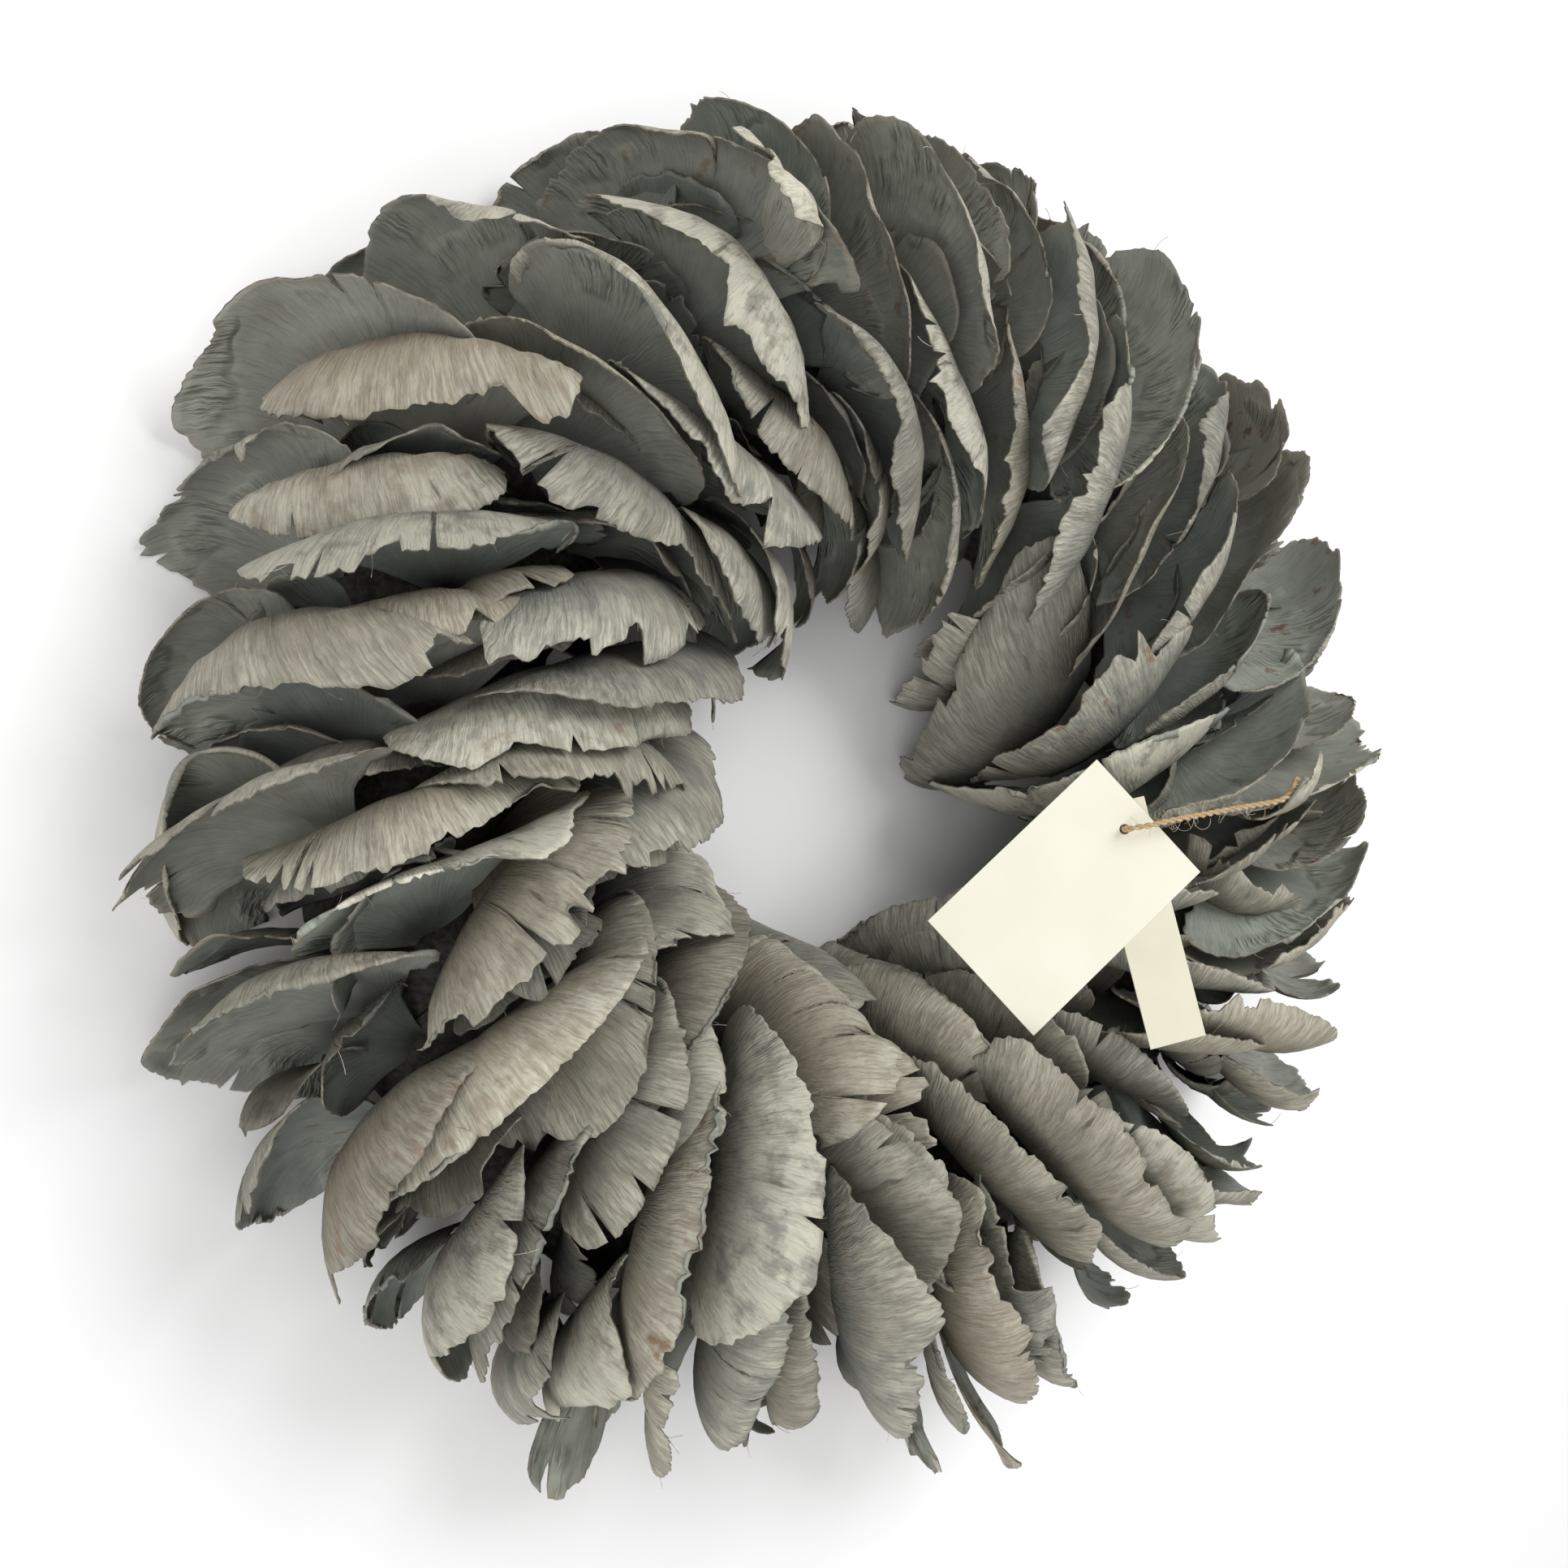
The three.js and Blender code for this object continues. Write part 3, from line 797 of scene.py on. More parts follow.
def off_ground(z, bend, clear):
    """Heights that ease off from bend downwards and never get below clear."""
    give = bend - clear
    return np.where(z < bend, clear + give * np.exp((z - bend) / give), z)


def petal_surface(petal, q, t, steps=12, lip=0.0, crease=0.0):
    """Points of the petal's middle surface: q goes across the fan, t along a fibre.

    The lip opens the curl again towards the margin, and the crease folds a broad strip over.
    """
    angle = q * petal["spread"]
    margin = (1 + SIDE_GROWTH * q**2 - SIDE_FALL * q**6) * (1 + petal["skew"] * q)
    fibre = petal["length"] * margin * t
    x, y = fibre * np.sin(angle), fibre * np.cos(angle)
    forward = petal["cup"] * (x / CUP_WIDTH) ** 2
    forward = forward + petal["wave"] * t**2 * np.sin(WAVE_RATE * q + petal["phase"])
    rise = -(x**2) / (2 * petal["droop"])
    for i in range(steps):
        share = (i + 0.5) / steps * y / petal["length"]
        bend = petal["curl"] * (1 + petal["lopside"] * q) * share ** petal["power"]
        past_lip = np.clip((share / margin - LIP_START) / LIP_BAND, 0, LIP_MOST) ** LIP_EASE
        past_crease = np.clip((share / margin - CREASE_START) / CREASE_BAND, 0, 1)
        slope = petal["lean"] + bend + lip * past_lip + crease * past_crease
        forward = forward + np.sin(slope) * y / steps
        rise = rise + np.cos(slope) * y / steps
    points = (
        petal["root"]
        + x[..., None] * petal["across"]
        + forward[..., None] * petal["forward"]
        + rise[..., None] * petal["rise"]
    )
    points[..., 2] = off_ground(points[..., 2], GROUND_BEND, GROUND_CLEAR)
    return points


def petal_in_solid(row, lane_number, tree):
    """The draw that the solid's petal came from: the one whose margin lies on the solid."""
    q = np.linspace(-1, 1, MARGIN_POINTS)
    t = 1 + TOOTH * np.where(np.arange(MARGIN_POINTS) % 2, 1, -1)
    best, best_hits = None, -1
    for attempt in range(TRIES):
        petal = draw_petal(row, lane_number, attempt)
        points = in_scene(petal_surface(petal, q, t))
        gaps = [tree.find_nearest(Vector(p), ON_SOLID * MM)[3] for p in points]
        hits = sum(gap is not None for gap in gaps)
        if hits > best_hits:
            best, best_hits = petal, hits
        if hits == MARGIN_POINTS:
            break
    return best


# How the petals look: the outer face is chalky grey-beige with fine wavy fibres from root to
# margin, the inner face smooth slate that wrinkles near the margin, the cut edge pale. Both faces
# are painted darker towards the root, as painted shade deep between the petals, and the wrinkles
# carry painted shade in their troughs. Marks kept on each petal say how light, warm, rusty and
# chalky it is; how light it is also holds painted light and shade by its place on the ring.
fibres, given = new_tree(
    "plant fibres",
    "ShaderNodeTree",
    {
        "Vector": ("Vector", None),
        "Across": ("Float", 1.0),
        "Along": ("Float", 0.06),
        "Detail": ("Float", 4.0),
        "Sway": ("Float", 3.0),
    },
    ("Streak", "Float"),
)
bend = node(fibres, "ShaderNodeTexNoise", Vector=given["Vector"], Scale=0.13, Detail=2.0)
bend = sums(fibres, "SUBTRACT", bend.outputs["Fac"], 0.5)
swayed = vector_of(fibres, X=times(fibres, bend, given["Sway"]))
swayed = vector_sums(fibres, "ADD", i0=given["Vector"], i1=swayed)
stretch = vector_of(fibres, X=given["Across"], Y=given["Along"], Z=1.0)
drawn = vector_sums(fibres, "MULTIPLY", i0=swayed, i1=stretch)
give_out(fibres, flecks(fibres, 1.0, given["Detail"], 0.6, drawn))


def colour_mix(tree, factor, a, b, kind="MIX"):
    mixed = node(
        tree,
        "ShaderNodeMix",
        {"data_type": "RGBA", "blend_type": kind, "clamp_factor": True},
        i0=factor,
    )
    for socket, value in ((mixed.inputs[6], a), (mixed.inputs[7], b)):
        if isinstance(value, bpy.types.NodeSocket):
            tree.links.new(value, socket)
        else:
            socket.default_value = (*value, 1)
    return mixed.outputs[2]


def steps_of(tree, value, low, high, to_low=0.0, to_high=1.0):
    """The value stretched smoothly from one pair of limits to another."""
    limits = {"i1": low, "i2": high, "i3": to_low, "i4": to_high}
    smooth = {"interpolation_type": "SMOOTHSTEP"}
    return node(tree, "ShaderNodeMapRange", smooth, i0=value, **limits).outputs[0]


def streaks(tree, fan, across, along_fibre, detail, sway):
    sizes = {"Across": across, "Along": along_fibre, "Detail": detail, "Sway": sway}
    made = node(tree, "ShaderNodeGroup", {"node_tree": fibres}, Vector=fan, **sizes)
    return made.outputs["Streak"]


def mark(tree, name):
    return node(tree, "ShaderNodeAttribute", {"attribute_name": name}).outputs["Fac"]


def blotches(tree, scale, detail=2.0):
    return flecks(tree, scale, detail, 0.6)


def shaded(tree, colour, shade):
    grey = node(tree, "ShaderNodeCombineColor", i0=shade, i1=shade, i2=shade).outputs[0]
    return colour_mix(tree, 1.0, colour, grey, "MULTIPLY")


BEIGE, GREY_GREEN, WARM = (0.222, 0.210, 0.172), (0.188, 0.195, 0.172), (0.276, 0.236, 0.174)
CHALK, SCRATCH, CRACK = (0.49, 0.475, 0.39), (0.44, 0.40, 0.33), (0.06, 0.052, 0.042)
RUST = (0.22, 0.125, 0.075)
petal_back, tree = new_material("petal_back")
fan = node(tree, "ShaderNodeUVMap", {"uv_map": "fan"}).outputs["UV"]
reach = mark(tree, "reach")
broad = streaks(tree, fan, 0.22, 0.03, 2.0, 3.0)
ridges = streaks(tree, fan, 1.1, 0.09, 3.0, 2.0)
hairs = streaks(tree, fan, 2.6, 0.20, 2.0, 2.5)
patch = blotches(tree, 34.0)
cloud = blotches(tree, 95.0, 4.0)
colour = colour_mix(tree, steps_of(tree, patch, 0.34, 0.66), BEIGE, GREY_GREEN)
warmth = times(tree, mark(tree, "warm"), steps_of(tree, cloud, 0.20, 0.60, 0.5, 1.0))
colour = colour_mix(tree, warmth, colour, WARM)
chalk = times(
    tree,
    steps_of(tree, reach, 0.66, 0.99),
    steps_of(tree, ridges, 0.42, 0.60, 0.30, 0.8),
    steps_of(tree, cloud, 0.36, 0.56, 0.4, 1.0),
)
powder = times(tree, mark(tree, "chalk"), steps_of(tree, cloud, 0.3, 0.55))
colour = colour_mix(tree, sums(tree, "ADD", chalk, powder), colour, CHALK)
scratch = times(
    tree, steps_of(tree, hairs, 0.54, 0.68), steps_of(tree, patch, 0.35, 0.55, 0.75, 0.3), 0.5
)
colour = colour_mix(tree, scratch, colour, SCRATCH)
# Grain, each petal's tone, and painted shade: the back is darkened towards the root, deep between
# the petals where the rows overlap.
shade = times(
    tree,
    steps_of(tree, ridges, 0.33, 0.50, 0.86, 1.0),
    steps_of(tree, hairs, 0.34, 0.48, 0.87, 1.0),
    steps_of(tree, broad, 0.30, 0.62, 0.90, 1.05),
    mark(tree, "tone"),
    steps_of(tree, reach, 0.20, 0.85, 0.16, 1.05),
)
colour = shaded(tree, colour, shade)
crack = times(tree, steps_of(tree, broad, 0.33, 0.26), steps_of(tree, reach, 0.55, 0.9), 0.7)
colour = colour_mix(tree, crack, colour, CRACK)
rust = times(tree, mark(tree, "rust"), steps_of(tree, cloud, 0.57, 0.72))
rust = times(tree, rust, steps_of(tree, reach, 0.70, 0.95, 0.2, 0.9))
colour = colour_mix(tree, rust, colour, RUST)
height = sums(tree, "ADD", ridges, times(tree, hairs, 0.5))
height = sums(tree, "ADD", height, times(tree, broad, steps_of(tree, reach, 0.5, 1.0, 0.3, 1.5)))
finish(tree, colour, (height, 0.85, 0.001), Roughness=0.85, Specular_IOR_Level=0.25)

SLATE, DARK_SLATE, WARM_SLATE = (0.336, 0.362, 0.313), (0.252, 0.271, 0.239), (0.310, 0.288, 0.238)
WRINKLE_SHADE, WORN, DARK_RUST = (0.085, 0.085, 0.070), (0.26, 0.222, 0.17), (0.17, 0.10, 0.06)
petal_face, tree = new_material("petal_face")
fan = node(tree, "ShaderNodeUVMap", {"uv_map": "fan"}).outputs["UV"]
reach = mark(tree, "reach")
folds = streaks(tree, fan, 0.75, 0.055, 2.0, 2.5)
lines = streaks(tree, fan, 1.25, 0.06, 3.0, 3.0)
patch = blotches(tree, 26.0)
cloud = blotches(tree, 120.0, 4.0)
colour = colour_mix(tree, steps_of(tree, patch, 0.38, 0.62), SLATE, DARK_SLATE)
colour = colour_mix(tree, times(tree, mark(tree, "warm"), 0.38), colour, WARM_SLATE)
# Grain and blotches, each petal's tone, and painted shade: the face is darkened towards the root,
# deep between the petals.
shade = times(
    tree,
    steps_of(tree, lines, 0.34, 0.54, 0.80, 1.0),
    steps_of(tree, cloud, 0.3, 0.7, 0.89, 1.08),
    mark(tree, "tone"),
    steps_of(tree, reach, 0.05, 0.42, 0.42, 1.0),
)
colour = shaded(tree, colour, shade)
# Painted shade in the troughs of the wrinkles near the margin, where the same folds give the
# relief.
band = times(tree, steps_of(tree, reach, 0.35, 0.80), steps_of(tree, patch, 0.48, 0.40))
wrinkle_shade = times(tree, sums(tree, "ADD", band, 0.05), steps_of(tree, folds, 0.50, 0.38), 0.62)
colour = colour_mix(tree, wrinkle_shade, colour, WRINKLE_SHADE)
worn = times(tree, steps_of(tree, reach, 0.94, 1.0), steps_of(tree, cloud, 0.46, 0.62), 0.6)
colour = colour_mix(tree, worn, colour, WORN)
rust = times(tree, mark(tree, "rust"), steps_of(tree, cloud, 0.58, 0.70))
colour = colour_mix(tree, rust, colour, DARK_RUST)
height = times(tree, folds, sums(tree, "ADD", times(tree, band, 2.0), 0.2))
height = sums(tree, "ADD", height, times(tree, lines, 0.16))
finish(tree, colour, (height, 0.9, 0.0013), Roughness=0.66, Specular_IOR_Level=0.35)


def mottled(name, scale, detail, dark, light, roughness, relief=None):
    """A finish in small blotches of two colours, with strength and depth of its relief."""
    material, tree = new_material(name)
    cloud = blotches(tree, scale, detail)
    colour = colour_mix(tree, steps_of(tree, cloud, 0.35, 0.65), dark, light)
    finish(tree, colour, relief and (cloud, *relief), Roughness=roughness)
    return material


EDGE_DARK, EDGE_LIGHT = (0.09, 0.075, 0.055), (0.26, 0.235, 0.185)
# The bed's colours are nearly black: the crust's own dark colour with painted shade of the depths
# under the petals.
BED_DARK, BED_LIGHT = (0.012, 0.011, 0.009), (0.05, 0.044, 0.035)
petal_edge = mottled("petal_edge", 160.0, 3.0, EDGE_DARK, EDGE_LIGHT, 0.85, (0.5, 0.0004))
root_bed = mottled("root_bed", 320.0, 5.0, BED_DARK, BED_LIGHT, 0.9, (0.9, 0.0012))

# One petal is a sheet about a millimetre thick. Its margin is made of small uneven lobes with
# flakes broken out and puckers between them, in shares of the fan; splits run in along a fibre.
FAN_STEPS, FIBRE_STEPS = 96, 12
STUB_STEPS = (40, 7)
STRIP_STEPS = (40, 14)
CROWDED = 1.4
CURL_STEPS = 28
T_ROOT = 0.05
ROOT_THICK = 1.15
MARGIN_THICK = 0.5
SHEET_BEND = 1.2
SHEET_CLEAR = 0.2
RIM_BENDS = (-0.17, 0.08)
RIM_TILT = 0.4
RAG = (0.2, 1.3)
LOBE_WIDTHS = (0.04, 0.16)
LOBE_HEIGHTS = (0.004, 0.020)
FLAKE_WIDTHS = (0.04, 0.20)
FLAKE_DEPTHS = (0.012, 0.05)
SPLIT_DEPTHS = (0.05, 0.24)
SPLIT_ASIDE = 2.0
SPLIT_BEND = 0.12
SPLIT_REACH = 0.35
MARKS = ("tone", "warm", "rust", "chalk")
LIP_WAVES = ((16, 2.3), (12, 5.1), (7, 11))
SHEET_WAVES = ((0.8, 5), (0.5, 9), (0.35, 17))
SIDE_WAVES = ((0.03, 1.1), (0.02, 3.1))
UV_PER_RADIAN = 60
margins = []


def waves(q, dice, parts):
    return sum(size * np.sin(rate * q + dice.uniform(0, 2 * math.pi)) for size, rate in parts)


def margin_line(q, dice, looks):
    """How far each fibre falls short of the smooth margin or passes it, and the puckers there."""
    bends = np.sort(dice.uniform(-0.95, 0.95, 5))
    rim = np.interp(q, [-1, *bends, 1], dice.uniform(*RIM_BENDS, 7)) + looks["corner"] * q**6
    rim = rim + RIM_TILT * looks["tilt"] * q
    pucker = np.zeros(len(q))
    rag = RAG[0] + RAG[1] * looks["pucker"]
    start = -1.05
    while start < 1:
        width = dice.uniform(*LOBE_WIDTHS)
        inside = (q >= start) & (q < start + width)
        place = 2 * (q[inside] - start) / width - 1
        lobe = dice.uniform(*LOBE_HEIGHTS) * np.sqrt(1 - place**2) * rag
        rim[inside] += lobe + dice.uniform(-0.012, 0.006)
        pucker[inside] = dice.uniform(0.2, 1.0) * np.cos(0.5 * math.pi * place) - 0.3
        start += width
    for _ in range(dice.randint(2, 6)):
        start = dice.uniform(-1, 0.9)
        inside = (q > start) & (q < start + dice.uniform(*FLAKE_WIDTHS))
        rim[inside] -= dice.uniform(*FLAKE_DEPTHS) * rag
    if looks["broken"] > 0:
        line = 1 - looks["broken"] + looks["tilt"] * q
        rim = np.where(1 + rim > line, line - 1 + 0.25 * rim, rim)
    return rim + dice.uniform(-0.007, 0.007, len(q)), pucker


def petal_splits(q, dice, number):
    """Splits: how deep each fibre is cut, and how far the sheet stands aside next to it."""
    cut = np.zeros(len(q))
    aside = np.zeros(len(q))
    opened = np.full(len(q), 2.0)
    for _ in range(number):
        column = dice.randint(len(q) // 10, len(q) - len(q) // 10)
        deep = dice.uniform(*SPLIT_DEPTHS)
        cut[column] = max(cut[column], deep)
        away = q - q[column]
        stand = dice.uniform(-SPLIT_ASIDE, SPLIT_ASIDE)
        aside += stand * np.sign(away) * np.exp(-np.abs(away) / SPLIT_BEND)
        opened = np.where(np.abs(away) < SPLIT_REACH, np.minimum(opened, 1 - deep), opened)
    return cut, aside, opened


def sheet_normals(middle):
    normal = np.cross(np.gradient(middle, axis=1), np.gradient(middle, axis=0))
    return normal / np.linalg.norm(normal, axis=2)[..., None]


def sheet_faces(shape):
    """Faces of a closed sheet whose two sides have this many points: front, back and edge."""
    ids = np.arange(shape[0] * shape[1]).reshape(shape)
    a, b, c, d = ids[:-1, :-1], ids[:-1, 1:], ids[1:, 1:], ids[1:, :-1]
    front = np.stack([a, b, c, d], -1).reshape(-1, 4)
    loop = np.concatenate([ids[0, :-1], ids[:-1, -1], ids[-1, :0:-1], ids[:0:-1, 0]])
    after = np.roll(loop, -1)
    edge = np.stack([after, loop, loop + ids.size, after + ids.size], -1)
    return front, front[:, ::-1] + ids.size, edge


def fine_petal(petal, dice, looks, fan_steps, fibre_steps):
    """Vertices, faces, each face's finish, UVs and marks of one petal.

    The points of its margin, and the way on from each, are kept for the stray threads.
    """
    q = np.linspace(-1, 1, fan_steps + 1)
    rim, pucker = margin_line(q, dice, looks)
    cut, aside, opened = petal_splits(q, dice, looks["splits"])
    s = np.linspace(0, 1, fibre_steps + 1)[:, None]
    spaced = 1 - (1 - s) ** CROWDED
    t = T_ROOT + (1 + rim * s**3 - cut - T_ROOT) * spaced
    ragged = waves(6 * s, dice, SIDE_WAVES) + dice.uniform(-0.015, 0.015, s.shape)
    across = np.broadcast_to(q * (1 + ragged * q**8), t.shape)
    folded = looks["fold"] * np.clip(q * looks["side"] - 0.1, 0, 1)
    lip = np.radians(looks["lip"] + folded + waves(q, dice, LIP_WAVES))
    crease = math.radians(looks.get("crease", 0))
    middle = petal_surface(petal, across, t, CURL_STEPS, lip, crease)
    stand = waves(q, dice, SHEET_WAVES) * t**2
    stand = stand + pucker * looks["pucker"] * np.clip((t - 0.80) / 0.20, 0, 1) ** 1.5
    stand = stand + aside * np.clip((t - opened) / 0.2, 0, 1)
    middle = middle + sheet_normals(middle) * stand[..., None]
    half = 0.5 * (ROOT_THICK + (MARGIN_THICK - ROOT_THICK) * np.clip(t, 0, 1))[..., None]
    shift = sheet_normals(middle) * half
    vertices = np.concatenate([(middle + shift).reshape(-1, 3), (middle - shift).reshape(-1, 3)])
    vertices[:, 2] = off_ground(vertices[:, 2], SHEET_BEND, SHEET_CLEAR)
    sides = sheet_faces(t.shape)
    kinds = np.repeat([0, 1, 2], [len(side) for side in sides])
    flat = np.stack([across * petal["spread"] * UV_PER_RADIAN, petal["length"] * t], -1)
    uv = np.tile(flat.reshape(-1, 2) + looks["offset"], (2, 1))
    marks = np.tile([looks[label] for label in MARKS], (len(vertices), 1))
    marks = np.column_stack([np.tile((t / (1 + rim)).reshape(-1), 2), marks])
    front = vertices[: t.size].reshape(*t.shape, 3)
    margins.append((front[-1], front[-1] - front[-2]))
    return vertices, np.concatenate(sides), kinds, uv, marks


# The bed of glued roots: a dark crust of glue and root ends on the straw, made nearly black with
# painted shade of the depths under the petals. Each row has its own piece of it, a lumpy saddle
# that is open underneath.
BED_ENDS = (math.radians(-25), math.radians(205))
BED_STEPS = 25
BED_WIDTH = 0.985
BED_INNER = 31.7
BED_THINNEST = 0.2
BED_THICK = 5.4
BED_LUMP = 1.2
BED_FADE = (0.35, 6)


def bed_piece(row, dice):
    """Vertices, faces, each face's finish, empty UVs and empty marks of one piece of the bed."""
    climbs = np.linspace(*BED_ENDS, BED_STEPS)
    shares = np.linspace(-0.5, 0.5, 9)
    top, bottom = [], []
    for climb in climbs:
        for share in shares:
            turn = row_turn(row, climb) + ROW_PITCH * share * BED_WIDTH
            out, _, _, centre = tube_axes(turn, climb)
            to_end = min(climb - climbs[0], climbs[-1] - climb)
            end = min(1, BED_FADE[1] * to_end + BED_FADE[0])
            thick = BED_THINNEST + (BED_THICK + dice.uniform(-BED_LUMP, BED_LUMP)) * end
            top.append(centre + out * (BED_INNER + thick))
            bottom.append(centre + out * BED_INNER)
    vertices = np.array(top + bottom)
    faces = np.concatenate(sheet_faces((BED_STEPS, len(shares))))
    bare = np.zeros((len(vertices), 2)), np.zeros((len(vertices), 1 + len(MARKS)))
    return vertices, faces, np.full(len(faces), 3), *bare


# Between the full petals stand short ones and broken stubs, which close the depths of the rows.
# They are painted darker than the petals, as painted shade of the depths, and darkest at the lower
# left.
STUB_CLIMBS = (12, 45, 80, 115, 150)
STUB_STRAY = 12
STUB_RANGE = (36, 58)
STUB_RANGES = {
    "spread": (34, 60),
    "lean": (-58, -15),
    "curl": (40, 150),
    "power": (1.2, 3),
    "lopside": (-0.4, 0.4),
    "cup": (4, 26),
    "droop": (40, 120),
    "skew": (-0.25, 0.25),
    "wave": (0, 3),
    "phase": (0, 2 * math.pi),
    "twist": (-30, 30),
    "roll": (-20, 20),
}
# Painted shade of the stubs by the place on the ring in degrees.
STUB_SHADE_PLACES = (185, 205, 290, 320)
STUB_SHADE = (0.78, 0.5, 0.55, 0.78)


def stub_petal(row, climb_angle, dice):
    climb = math.radians(climb_angle + dice.uniform(-STUB_STRAY, STUB_STRAY))
    turn = row_turn(row + 0.5, climb) + ROW_PITCH * dice.uniform(-ROW_STRAY, ROW_STRAY)
    length = dice.uniform(*STUB_RANGE)
    habit = {name: dice.uniform(*limits) for name, limits in STUB_RANGES.items()}
    habit["twist"] += PETAL_TWIST
    return set_petal(turn, climb, length, habit)


# Narrow strips of the same sheath: three tongues hang out of the lowest rows, one strip stands
# over the end of the twine, and at the top stands a short yellowish petal with brown specks.
# By row: place on the ring, climb, length, half spread, curl and habit.
HABIT = ("lean", "power", "lopside", "cup", "droop", "skew", "twist", "roll", "wave", "phase")
HANGING = (-6, 2, 0.4, 30, 60, 0.1, 80, 0, 3, 2)
STANDING = (-22, 3, -0.2, 4, 80, 0.08, 0, 0, 0.5, 1)
STRIPS = {
    0: (0.7, 95.6, 94, 7.5, 132, STANDING),
    8: (109.5, 60, 77, 21, 92, STANDING),
    18: (244.5, 8, 69, 17, 12, HANGING),
    21: (278, 8, 72, 8, 30, HANGING),
    22: (284, 8, 78, 6, 50, HANGING),
}
STRIP_LOOKS = {"splits": 0, "lip": 0, "fold": 0, "broken": 0, "corner": 0}
SPECKLED_ROW = 8
SPECKLED = {"tone": 1.2, "warm": 1.9, "rust": 1.0, "chalk": 0.5}


def strip_petal(place, climb, length, spread, curl, habit):
    habit = {**dict(zip(HABIT, habit)), "spread": spread, "curl": curl}
    return set_petal(math.radians(place), math.radians(climb), length, habit)


# Petals that stand out, by row and lane: paler, browner, with a rusty stain, or creased so that a
# broad strip of the back is folded over.
STAND_OUT = {
    (1, 2): {"chalk": 0.8, "lip": -4, "tone": 1.12},
    (1, 4): {"chalk": 0.8},
    (2, 5): {"tone": 0.74, "warm": 0.1},
    (3, 1): {"tone": 1.15, "warm": 1.8, "rust": 0.9},
    (5, 2): {"chalk": 0.9, "lip": -6},
    (7, 2): {"chalk": 0.9},
    (9, 2): {"chalk": 0.9, "warm": 0.5, "lip": -6, "fold": 0, "crease": 42},
    (11, 1): {"lip": -5, "fold": 0, "crease": 62, "tone": 1.0, "warm": 1.6, "tilt": 0},
    (12, 1): {"lip": -5, "fold": 0, "crease": 62, "tone": 0.98, "warm": 1.2},
    (13, 1): {"lip": -5, "fold": 10, "crease": 60, "tone": 0.95, "warm": 0.6},
    (13, 2): {"lip": 0, "fold": 0, "crease": 45},
    (14, 0): {"lip": 0, "fold": 10, "crease": 58, "warm": 0.9},
    (15, 2): {"tone": 1.32, "chalk": 1.0, "warm": 0, "lip": -34},
    (16, 2): {"tone": 1.1, "chalk": 0.2, "warm": 1.5, "rust": 0.7, "lip": 20},
    (16, 4): {"tone": 1.1, "chalk": 0.35, "splits": 5},
    (18, 2): {"warm": 0.7, "rust": 1.0},
    (19, 4): {"tone": 1.0, "warm": 1.6, "rust": 0.4, "splits": 9, "broken": 0},
}

# How far the lips open past the smooth curl, and how light the petals are, by the place on the ring
# in degrees. The lightness is painted light and shade for the way the light falls on the ring:
# lighter at the lower right, darker at the lower left.
LIP_PLACES = (0, 30, 60, 80, 110, 140, 170, 190, 212, 230, 275, 325, 340, 352, 360)
LIP_ANGLES = (-25, -25, -22, -10, -15, -10, -20, -23, -20, 8, 16, 12, 26, 20, -25)
LIGHT_AND_SHADE_PLACES = (0, 30, 100, 115, 160, 190, 203, 225, 240, 318, 335, 360)
LIGHT_AND_SHADE = (1.13, 1.0, 1.0, 0.93, 0.94, 1.0, 0.80, 0.80, 0.98, 1.0, 1.22, 1.13)
PETAL_LIP = 20
STUB_LIP = 26
STRIP_LIP = 10


def petal_looks(place, dice, lip_range):
    lip = np.interp(place, LIP_PLACES, LIP_ANGLES)
    return {
        "lip": dice.uniform(lip - lip_range, lip + lip_range),
        "fold": max(0, dice.uniform(-60, 90)),
        "side": 1 - 2 * dice.randint(0, 2),
        "corner": dice.uniform(-0.07, 0.21),
        "offset": dice.uniform(0, 4000, 2),
        # each petal's own random tone, times painted light and shade by its place on the ring
        "tone": dice.uniform(0.84, 1.13) * np.interp(place, LIGHT_AND_SHADE_PLACES, LIGHT_AND_SHADE),
        "warm": min(1, max(0, dice.uniform(-0.45, 1.15))),
        "rust": max(0, dice.uniform(-4, 1)),
        "chalk": max(0, dice.uniform(-1.2, 0.6)),
        "broken": max(0, dice.uniform(-0.20, 0.15)),
        "tilt": dice.uniform(-0.2, 0.2),
        "splits": dice.randint(0, 4),
        "pucker": dice.uniform(0.1, 0.9),
    }


def place_of(petal):
    return math.degrees(petal["turn"]) % 360


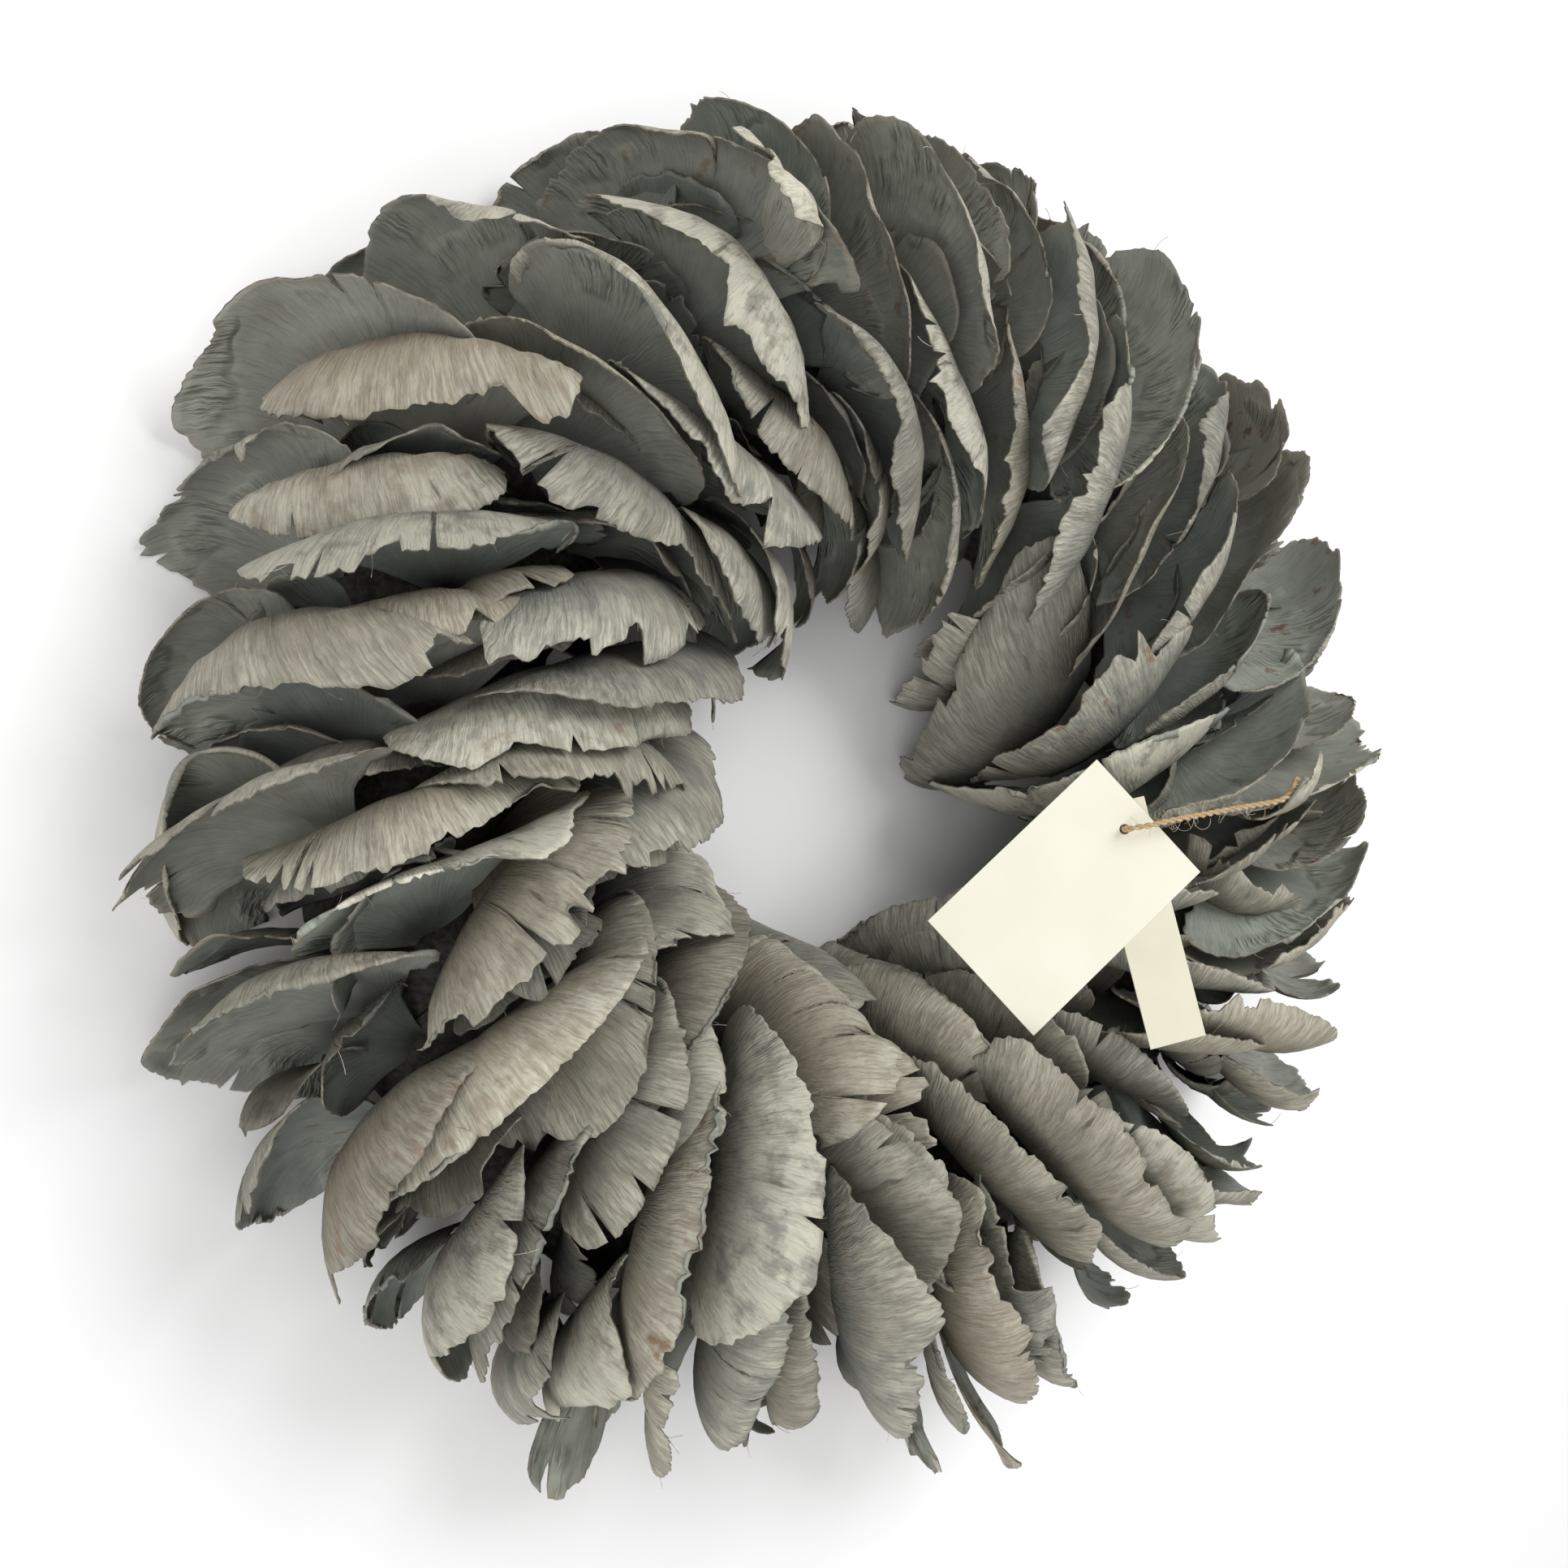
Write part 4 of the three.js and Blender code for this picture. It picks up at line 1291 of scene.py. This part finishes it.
# The rows are put together here, each from its petals, its stubs, its strip where it has one, and
# its piece of the bed, as one mesh with the marks that the finishes read.
FINISHES = [petal_face, petal_back, petal_edge, root_bed]
petal_dice = np.random.RandomState(4177)
strip_dice = np.random.RandomState(77)
for row in range(ROWS):
    name = "petal_row_%02d" % (row + 1)
    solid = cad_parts[name]
    solid_tree = BVHTree.FromPolygons(
        [solid.matrix_world @ v.co for v in solid.data.vertices],
        [tuple(p.vertices) for p in solid.data.polygons],
    )
    sheets = []
    for lane_number, (_, share, _) in enumerate(LANES):
        if math.floor((row + 1) * share) > math.floor(row * share):
            petal = petal_in_solid(row, lane_number, solid_tree)
            looks = petal_looks(place_of(petal), petal_dice, PETAL_LIP)
            looks.update(STAND_OUT.get((row, lane_number), {}))
            sheets.append(fine_petal(petal, petal_dice, looks, FAN_STEPS, FIBRE_STEPS))
    for climb_angle in STUB_CLIMBS:
        petal = stub_petal(row, climb_angle, petal_dice)
        looks = petal_looks(place_of(petal), petal_dice, STUB_LIP)
        # Painted shade: the stubs are darkened like the depths they stand in, most at the lower
        # left.
        looks["tone"] *= np.interp(place_of(petal), STUB_SHADE_PLACES, STUB_SHADE)
        sheets.append(fine_petal(petal, petal_dice, looks, *STUB_STEPS))
    if row in STRIPS:
        petal = strip_petal(*STRIPS[row])
        looks = petal_looks(place_of(petal), strip_dice, STRIP_LIP)
        looks.update(STRIP_LOOKS)
        if row == SPECKLED_ROW:
            looks.update(SPECKLED)
        sheets.append(fine_petal(petal, strip_dice, looks, *STRIP_STEPS))
    sheets.append(bed_piece(row, petal_dice))

    points, faces, kinds, uv, marks = zip(*sheets)
    bases = np.cumsum([0] + [len(p) for p in points])
    faces = np.concatenate([f + base for f, base in zip(faces, bases)])
    points, kinds, uv, marks = (np.concatenate(part) for part in (points, kinds, uv, marks))
    piece = finish_mesh("petals_row_%02d" % (row + 1), in_scene(points), faces, FINISHES)
    mesh = piece.data
    mesh.polygons.foreach_set("material_index", kinds.astype(np.int32))
    mesh.polygons.foreach_set("use_smooth", kinds != 2)
    layer = mesh.uv_layers.new(name="fan")
    corners = np.empty(len(mesh.loops), dtype=np.int32)
    mesh.loops.foreach_get("vertex_index", corners)
    layer.data.foreach_set("uv", uv[corners].astype(np.float32).reshape(-1))
    for k, label in enumerate(("reach", *MARKS)):
        store = mesh.attributes.new(label, "FLOAT", "POINT")
        store.data.foreach_set("value", marks[:, k].astype(np.float32))
    mesh.update()
    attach(piece, "root")
    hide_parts(name)

# Stray fibres: thin threads that stand off the frayed margins. Geometry Nodes set them out along
# the margins' lines and lean them outwards. None starts near the floor.
THREAD_CLEAR = 12
THREAD_DARK, THREAD_LIGHT = (0.16, 0.12, 0.08), (0.62, 0.58, 0.48)
thread = mottled("stray_thread", 200.0, 2.0, THREAD_DARK, THREAD_LIGHT, 0.8)
places = np.concatenate([p for p, _ in margins])
ways = np.concatenate([w for _, w in margins])
high_up = places[:, 2] > THREAD_CLEAR
petal_threads = apply_tree(
    "petal_threads",
    stray,
    strand_base("margin_points", in_scene(places[high_up]), ways[high_up]),
    {"Share": 0.02, "Length": 4.5 * MM, "Thickness": 0.08 * MM, "Seed": 5, "Thread": thread},
)
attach(petal_threads, "root")
